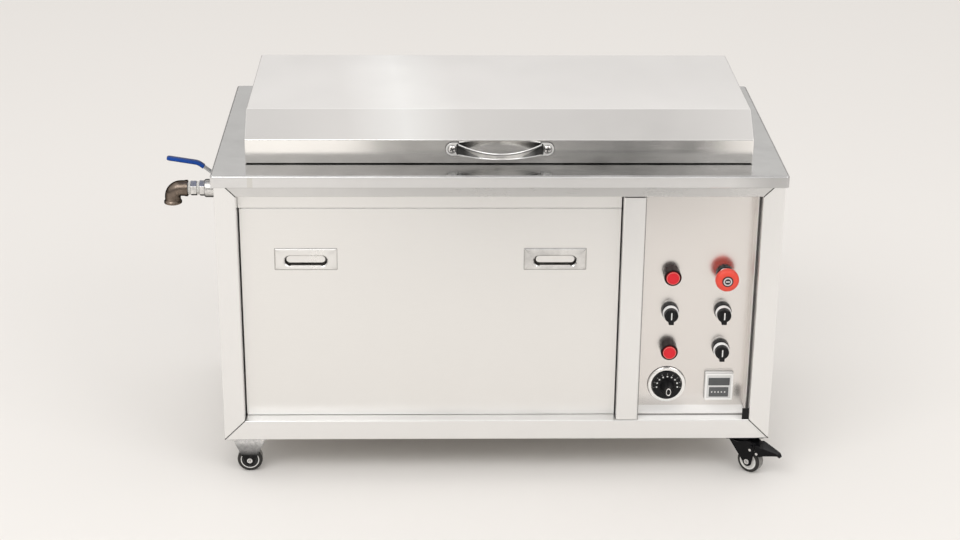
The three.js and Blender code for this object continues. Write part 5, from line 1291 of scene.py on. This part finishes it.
class CLEANER_OT_lever(bpy.types.Operator):
    """Builds the drain lever with its stem nut and its blue vinyl sleeve"""

    bl_idname = "cleaner.lever"
    bl_label = "Drain lever"

    def execute(self, context):
        stem = Vector((STEM_X, DRAIN_Y, DRAIN_Z))
        low, high = Vector((-5.5, 0, 30.0)), Vector((-31.0, 0, 50.0))
        route = bend_points([(0, 0, 30.0), low, high, (-86.5, 0, 59.0)], 7.0)
        strip = swept(rounded_rectangle((-7.0, -1.5), (7.0, 1.5), 0.7, 3), [stem + p for p in route])
        piece("valve_lever", [
            (strip, "zinc plate"), (turned(rod(9.5, 28.5, 31.5), UP, stem, 48, 0.5), "zinc plate"),
            (turned(rod(4.5, 23.0, 37.6), UP, stem, 32, 0.5), "zinc plate"),
            (hexagon(11.0, UP, stem, 31.4, 37.4, 0.2, 0.5), "satin steel"),
        ], "valve_handle")
        slope = (high - low).normalized()
        way = [stem + p for p in bend_points([high - slope * 12.0, high, (-88.6, 0, 59.35)], 23.0)]
        tip = way.pop()
        back = (way[-1] - tip).normalized()
        way += [tip + back * reach for reach in (5.0, 2.4, 0.8, 0.0)]
        tail = (0.5, 0.78, 0.94)

        def outline(share):
            before_end = round((1 - share) * (len(way) - 1))
            return circle(8.8 * (tail[before_end] if before_end < len(tail) else 1.0), 40, 0.46)

        piece("lever_sleeve", [(swept(outline, way), "blue vinyl")], "valve_handle")
        return {"FINISHED"}


# Casters are shaped at their own middle and then set in place

WHEEL_Z = 22.0
FORK_X, PIN_X, PIN_Z = 19.0, 27.0, 55.0
SWIVEL_TURN = -41.0


def set_down(parts, x, y, degrees=0.0):
    place = Matrix.Translation((x, y, 0.0)) @ Matrix.Rotation(math.radians(degrees), 4, "Z")
    for shape, *_ in parts:
        bmesh.ops.transform(shape, matrix=place, verts=shape.verts)
    return parts


def caster_wheel(x, web):
    """A rubber tyre on a pale core, with the hub and the recessed web."""
    centre = (x, 0, WHEEL_Z)
    tyre = [(16.2, -8.7), (17.6, -9.0), (19.6, -8.9), (21.2, -7.9), (21.9, -6.4), (21.9, 6.4), (21.2, 7.9),
            (19.6, 8.9), (17.6, 9.0), (16.2, 8.7)]
    core = [(3.2, -9.0), (7.0, -9.0), (7.4, -6.6), (13.6, -6.4), (14.6, -8.6), (16.3, -8.8), (16.3, 8.8),
            (14.6, 8.6), (13.6, 6.4), (7.4, 6.6), (7.0, 9.0), (3.2, 9.0)]
    core = turned(core, BACK, centre, 72, 0.3)
    core.faces.index_update()
    offsets = [face.calc_center_median() - Vector(centre) for face in core.faces]
    recessed = {i for i, offset in enumerate(offsets) if math.hypot(offset.x, offset.z) < 14.6}
    return [
        (turned(tyre, BACK, centre, 72), "tyre rubber"),
        (turned(sleeve(21.0, 22.0, -5.2, 5.2), BACK, centre, 72, 0.3), "worn tread"),
        (core, "wheel core", (lambda face: face.index in recessed, web)),
    ]


def fork_parts(points, x, metal, axle):
    """Two leg sheets, and the axle with a flanged round head and a small nut end on each side."""
    parts = [(prism(points, "back", start, start + 2.0, 0.5), metal) for start in (-12.0, 10.0)]
    middle = (x, 0, WHEEL_Z)
    parts.append((turned(rod(3.0, -12.2, 12.2), BACK, middle, 24), axle))
    for side in (BACK, TO_FRONT):
        parts += [
            (turned(rod(4.8, 11.9, 13.8), side, middle, 40, 0.6), "foot steel"),
            # A dark ring paints the shade round the axle's domed end
            (turned(sleeve(1.9, 2.7, 13.7, 14.1), side, middle, 32), "soft line"),
            (turned([(0, 13.6), (1.9, 13.6), (1.7, 14.8), (0, 15.2)], side, middle, 24), axle),
        ]
    return parts


def rivets(x, z, inner, outer):
    """A round rivet head on each side of a caster, between two distances from its middle."""
    return [(turned(rod(2.7, inner, outer), side, (x, 0, z), 24, 0.5), "polished steel")
            for side in (BACK, TO_FRONT)]


class CLEANER_OT_casters(bpy.types.Operator):
    """Builds the rigid casters on the left and the braked swivel casters on the right"""

    bl_idname = "cleaner.casters"
    bl_label = "Casters"

    def execute(self, context):
        for y, place in ((29.0, "front"), (464.0, "rear")):
            self.rigid(-435.0, y, place)
            self.swivel(435.0, y, place)
        return {"FINISHED"}

    def rigid(self, x, y, place):
        outline = [(-31.0, 69.6), *arc_points((0, WHEEL_Z), 9.0, 195, 345), (31.0, 69.6)]
        # The fork's zinc darkens towards the floor: painted shade
        parts = fork_parts(outline, 0.0, "fork zinc", "satin steel")
        parts.append((block((-33.0, -25.0, 69.2), (33.0, 25.0, 71.7), 0.8), "fork zinc"))
        parts.append((block((-30.0, -12.0, 64.5), (30.0, 12.0, 69.3), 1.6, 3), "fork zinc"))
        for bolt in ((-25.0, -19.0, 69.3), (-25.0, 19.0, 69.3), (25.0, -19.0, 69.3), (25.0, 19.0, 69.3)):
            parts.append((hexagon(8.0, DOWN, bolt, 0, 3.4, 0.4, 0.4), "satin steel"))
        fork = f"rigid_fork_{place}"
        piece(fork, set_down(parts, x, y), nodes=[f"{fork}_left"])
        # The rigid wheel's web is black: painted shade under the fork
        wheel = set_down(caster_wheel(0.0, "inner wall"), x, y)
        piece(f"wheel_{place}_left", wheel, f"{place}_left_wheel")

    def swivel(self, x, y, place):
        black, middle = "black coat", (0, 0, 0)
        race = [(0, 63.8), (20.5, 63.8), (22.5, 65.6), (22.5, 67.6), (21.0, 69.3), (0, 69.3)]
        plate = [(block((-33.0, -25.0, 69.2), (33.0, 25.0, 71.7), 0.8), black),
                 (turned(race, UP, middle, 64), black)]
        crown = [(5.3, 60.9), (23.2, 60.9), (24.0, 61.7), (24.0, 62.6), (23.2, 63.4), (5.3, 63.4)]
        outline = [(-20.0, 63.2), (-20.0, 54.4), *arc_points((FORK_X, WHEEL_Z), 9.0, 190, 350),
                   *arc_points((PIN_X, PIN_Z), 6.0, -20, 70, 8), (20.0, 63.2)]
        fork = fork_parts(outline, FORK_X, black, "polished steel") + rivets(24.0, 46.5, 11.8, 13.0)
        fork.append((turned(crown, UP, middle, 64), black))
        fork.append((turned(rod(2.5, -14.4, 14.4), BACK, (PIN_X, 0, PIN_Z), 32, 0.4), black))
        for name, parts, turn, body in (
            (f"caster_plate_{place}", plate, 0.0, "cabinet"),
            (f"swivel_fork_{place}", fork, SWIVEL_TURN, f"{place}_right_swivel"),
        ):
            piece(name, set_down(parts, x, y, turn), body, [f"{name}_right"])
        wheel = set_down(caster_wheel(FORK_X, "wheel core"), x, y, SWIVEL_TURN)
        piece(f"wheel_{place}_right", wheel, f"{place}_right_wheel")
        pedal, name = set_down(self.pedal(), x, y, SWIVEL_TURN), f"brake_pedal_{place}"
        piece(name, pedal, f"{place}_right_brake", [f"{name}_right"])

    def pedal(self):
        """A pressed pedal with rolled edges, a hub on the pin and a brake shoe below."""
        start, level, slope, tip = 25.5, 60.4, (51.5 - 60.4) / (75.5 - 25.5), 76.0

        def top(reach, drop):
            """Height of the plate, which slopes down to its tip and is bent down past it."""
            return level + slope * (min(reach, tip) - start) - (drop if reach > 78 else 0.0)

        loops = []
        for reach, half in ((23.9, 9.4), (33.8, 9.4), (36.5, 13.2), (44.0, 12.4), (52.0, 10.6), (68.0, 6.8),
                            (76.0, 4.9), (79.6, 3.8)):
            section = [(half, -0.9), (half, 0.4), (half - 0.7, 1.1), (half * 0.5, 0.9), (0.0, 0.8)]
            section += [(-a, b) for a, b in section[-2::-1]]
            section += [(-half * 0.5, -1.1), (0.0, -1.1), (half * 0.5, -1.1)]
            loops.append([(reach, a, top(reach, 4.6) + b) for a, b in section])
        shapes = [lofted(loops)]
        for sign in (-1, 1):
            rim = []
            for reach, half, depth in ((34.5, 12.8, 19.0), (44.0, 12.3, 18.0), (52.0, 10.5, 13.0),
                                       (66.0, 7.2, 7.0), (75.0, 5.1, 3.4), (79.2, 3.8, 2.0)):
                high, outer, inner = top(reach, 4.2), sign * half, sign * (half - 1.6)
                rim.append([(reach, outer, high), (reach, outer, high - depth),
                            (reach, inner, high - depth), (reach, inner, high)])
            shapes.append(lofted(rim))
        x, _, z = shoe = self.shoe()
        shapes += [
            turned(rod(4.6, -9.4, 9.4), BACK, (PIN_X, 0, PIN_Z), 40, 0.5),
            turned(rod(3.5, -6.0, 6.0), BACK, shoe, 24, 0.4),
            block((x - 2.0, -6.0, z), (x + 2.0, 6.0, level + slope * (x - start) - 0.6), 0.4),
        ]
        return [(shape, "black coat") for shape in shapes] + rivets(38.0, 43.4, 11.4, 13.8)

    def shoe(self):
        """Middle of the brake shoe: it meets the tyre when the pedal has swung down."""
        contact, swing, distance = math.radians(57.0), math.radians(15.0), WHEEL_Z + 3.5 + 0.3
        x = FORK_X + distance * math.cos(contact) - PIN_X
        z = WHEEL_Z + distance * math.sin(contact) - PIN_Z
        return (PIN_X + x * math.cos(swing) - z * math.sin(swing), 0.0,
                PIN_Z + x * math.sin(swing) + z * math.cos(swing))


class CLEANER_OT_inner_parts(bpy.types.Operator):
    """Gives the parts inside the cabinet their finishes"""

    bl_idname = "cleaner.inner_parts"
    bl_label = "Inner parts"

    def execute(self, context):
        for node, name in (
            ("transducer_plate", "cast alloy"), ("heater_pad", "heater film"),
            ("generator_case", "housing coat"),
        ):
            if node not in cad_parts:
                raise RuntimeError(f"the frame has no node {node}")
            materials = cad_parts[node].data.materials
            materials.clear()
            materials.append(finish(name))
        return {"FINISHED"}


# Stage: floor, world, lamps and camera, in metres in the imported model's frame

BACK_WALL, SKIRTING, SEEN = grey(0.95), grey(0.22), grey(0.84)
# Name, place, aim, width and height, watts
LAMPS = (
    ("key softbox", (-2.0, -3.4, 4.2), (0.0, -0.5, 0.2), (3.6, 2.4), 84.0),
    ("fill softbox", (3.0, -3.2, 3.6), (0.1, -0.4, 0.2), (2.8, 2.4), 44.0),
)
# Tones of the room that the steel mirrors, along x
CEILING = (
    (-0.12, grey(0.66)), (-0.08, grey(0.72)), (-0.044, grey(0.95)), (-0.01, grey(0.86)), (0.0245, grey(0.77)),
    (0.07, grey(0.7)), (0.1, grey(0.64)), (0.135, grey(0.7)), (0.17, grey(0.92)),
)
DOORWAY = (
    (-0.3, grey(0.92)), (-0.09, grey(0.8)), (-0.04, grey(0.94, 0.05)), (-0.026, grey(0.42)),
    (0.01, grey(0.4)), (0.06, grey(0.27)), (0.1, grey(0.2)), (0.125, grey(0.3)), (0.143, grey(0.5)),
    (0.154, grey(1.0)), (0.3, grey(1.0)),
)


def stage_object(name, shape, material):
    """An object of the stage, which isn't part of the cleaner."""
    mesh = bpy.data.meshes.new(name)
    shape.to_mesh(mesh)
    shape.free()
    mesh.materials.append(material)
    return linked(name, mesh)


def pale_floor():
    shape = bmesh.new()
    bmesh.ops.create_grid(shape, x_segments=1, y_segments=1, size=14.0)
    material, tree, shader = fresh_material("Pale floor")
    look = placed_group(tree, "Handled surface", {"Speck scale": 40.0, "Smudge scale": 0.6})
    tone = tuple(colours().backdrop)
    colour = blended(tree, ranged(tree, look["Smudge"], 0.0, 1.0), tone, shade(tone, 0.995))
    tree.links.new(colour, shader.inputs["Base Color"])
    shader.inputs["Roughness"].default_value = 0.6
    shader.inputs["Specular IOR Level"].default_value = 0.0
    floor = stage_object("floor", shape, material)


def dark_mat():
    """A dark mat on the floor in front, outside the picture, that shows only in the steel."""
    shape = bmesh.new()
    corners = [(-0.21, -1.58), (0.67, -1.58), (0.78, -2.7), (-0.25, -2.7)]
    bmesh.ops.contextual_create(shape, geom=[shape.verts.new((x, y, 0.0015)) for x, y in corners])
    material, tree, shader = fresh_material("Dark mat")
    split = tree.nodes.new("ShaderNodeSeparateXYZ")
    tree.links.new(object_place(tree), split.inputs[0])
    deep = ranged(tree, split.outputs["Y"], 0.0, 1.0, -1.58, -1.68)
    across = ranged(tree, split.outputs["X"], 0.0, 1.0, -0.2, 0.45)
    dark = blended(tree, across, (0.24, 0.235, 0.225), (0.07, 0.07, 0.07))
    tree.links.new(blended(tree, deep, (0.5, 0.49, 0.48), dark), shader.inputs["Base Color"])
    shader.inputs["Roughness"].default_value = 0.8
    path = tree.nodes.new("ShaderNodeLightPath")
    tree.links.new(path.outputs["Is Glossy Ray"], shader.inputs["Alpha"])
    card = stage_object("dark_mat", shape, material)


def ramped(tree, value, stops):
    """A row of colours along a value: each stop is (value, colour)."""
    start, end = stops[0][0], stops[-1][0]
    node = tree.nodes.new("ShaderNodeValToRGB")
    tree.links.new(ranged(tree, value, 0.0, 1.0, start, end), node.inputs["Fac"])
    elements = node.color_ramp.elements
    for at, _ in stops[1:-1]:
        elements.new((at - start) / (end - start))
    for element, (_, colour) in zip(elements, stops):
        element.color = (*colour, 1.0)
    return node.outputs["Color"]


def pale_room():
    """A white room with a dark skirting, a doorway behind the camera and uneven ceiling panels."""
    world = bpy.data.worlds.new("Pale room")
    world.use_nodes = True
    tree = world.node_tree
    split = tree.nodes.new("ShaderNodeSeparateXYZ")
    tree.links.new(tree.nodes.new("ShaderNodeTexCoord").outputs["Generated"], split.inputs[0])
    x, y, z = split.outputs["X"], split.outputs["Y"], split.outputs["Z"]

    def both(first, second):
        return calculated(tree, "MULTIPLY", first, second)

    def rising(value, start, end):
        return ranged(tree, value, 0.0, 1.0, start, end)

    def falling(value, start, end):
        return ranged(tree, value, 1.0, 0.0, start, end)

    behind = both(rising(y, 0.1, 0.4), falling(z, 0.5, 0.75))
    front = both(both(falling(y, -0.3, 0.1), falling(z, 0.55, 0.8)), rising(z, 0.02, 0.1))
    low = both(rising(z, -0.03, 0.01), falling(z, 0.2, 0.27))
    room = blended(tree, behind, grey(1.0, 0.01), BACK_WALL)
    room = blended(tree, rising(z, 0.9, 0.97), room, ramped(tree, x, CEILING))
    room = blended(tree, front, room, ramped(tree, x, DOORWAY))
    room = blended(tree, low, room, SKIRTING)
    seen = tree.nodes.new("ShaderNodeLightPath").outputs["Is Camera Ray"]
    tree.links.new(blended(tree, seen, room, SEEN), tree.nodes["Background"].inputs["Color"])
    return world


def camera_matrix():
    """Where the photograph was taken from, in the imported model's frame."""
    yaw, pitch, roll = 0.0253, 0.394, 0.0087
    forward = Vector((math.sin(yaw) * math.cos(pitch), math.cos(yaw) * math.cos(pitch), -math.sin(pitch)))
    right = Vector((math.cos(yaw), -math.sin(yaw), 0.0))
    up = right.cross(forward)
    leaned = right * math.cos(roll) + up * math.sin(roll)
    raised = up * math.cos(roll) - right * math.sin(roll)
    matrix = Matrix((leaned, raised, -forward)).transposed().to_4x4()
    matrix.translation = TO_ROW @ Vector((-110.23, -3055.64, 1662.8))
    return matrix


class CLEANER_OT_stage(bpy.types.Operator):
    """Sets the pale floor, the lamps, the world and the camera"""

    bl_idname = "cleaner.stage"
    bl_label = "Stage and camera"

    def execute(self, context):
        scene = context.scene
        pale_floor()
        dark_mat()
        scene.world = pale_room()
        for name, place, aim, size, watts in LAMPS:
            lamp = bpy.data.lights.new(name, "AREA")
            lamp.shape, lamp.energy = "RECTANGLE", watts
            lamp.size, lamp.size_y = size
            holder = linked(name, lamp)
            holder.location = place
            holder.rotation_euler = (Vector(aim) - Vector(place)).to_track_quat("-Z", "Y").to_euler()
        camera = bpy.data.cameras.new("photo camera")
        camera.lens, camera.sensor_width, camera.clip_end = 73.65, 36.0, 60.0
        scene.camera = linked("photo camera", camera)
        scene.camera.matrix_world = camera_matrix()
        scene.view_settings.view_transform = "Standard"
        return {"FINISHED"}


# Sidebar panel, registration and the build


PIECES = (
    CLEANER_OT_frame, CLEANER_OT_sheets, CLEANER_OT_deck, CLEANER_OT_tank, CLEANER_OT_lid,
    CLEANER_OT_lid_handle, CLEANER_OT_hinge, CLEANER_OT_door, CLEANER_OT_pulls, CLEANER_OT_panel,
    CLEANER_OT_buttons, CLEANER_OT_stop, CLEANER_OT_selectors, CLEANER_OT_dial, CLEANER_OT_timer,
    CLEANER_OT_drain, CLEANER_OT_lever, CLEANER_OT_casters, CLEANER_OT_inner_parts, CLEANER_OT_stage,
)


class CLEANER_PT_sidebar(bpy.types.Panel):
    """Lists the settings and the pieces of the cleaner"""

    bl_idname = "CLEANER_PT_sidebar"
    bl_label = "Ultrasonic Cleaner"
    bl_space_type = "VIEW_3D"
    bl_region_type = "UI"
    bl_category = "Cleaner"

    def draw(self, context):
        layout = self.layout
        for group in (context.scene.cleaner_sizes, context.scene.cleaner_colours):
            box = layout.box()
            for name in group.__annotations__:
                box.prop(group, name)
        column = layout.column(align=True)
        for operator in PIECES:
            column.operator(operator.bl_idname)


CLASSES = (CleanerSizes, CleanerColours, *PIECES, CLEANER_PT_sidebar)


def register():
    for cls in CLASSES:
        bpy.utils.register_class(cls)
    bpy.types.Scene.cleaner_sizes = PointerProperty(type=CleanerSizes)
    bpy.types.Scene.cleaner_colours = PointerProperty(type=CleanerColours)


def unregister():
    del bpy.types.Scene.cleaner_colours
    del bpy.types.Scene.cleaner_sizes
    for cls in reversed(CLASSES):
        bpy.utils.unregister_class(cls)


def main():
    register()
    for operator in PIECES:
        family, name = operator.bl_idname.split(".")
        getattr(getattr(bpy.ops, family), name)()
    bpy.context.view_layer.update()


if __name__ == "__main__":
    main()
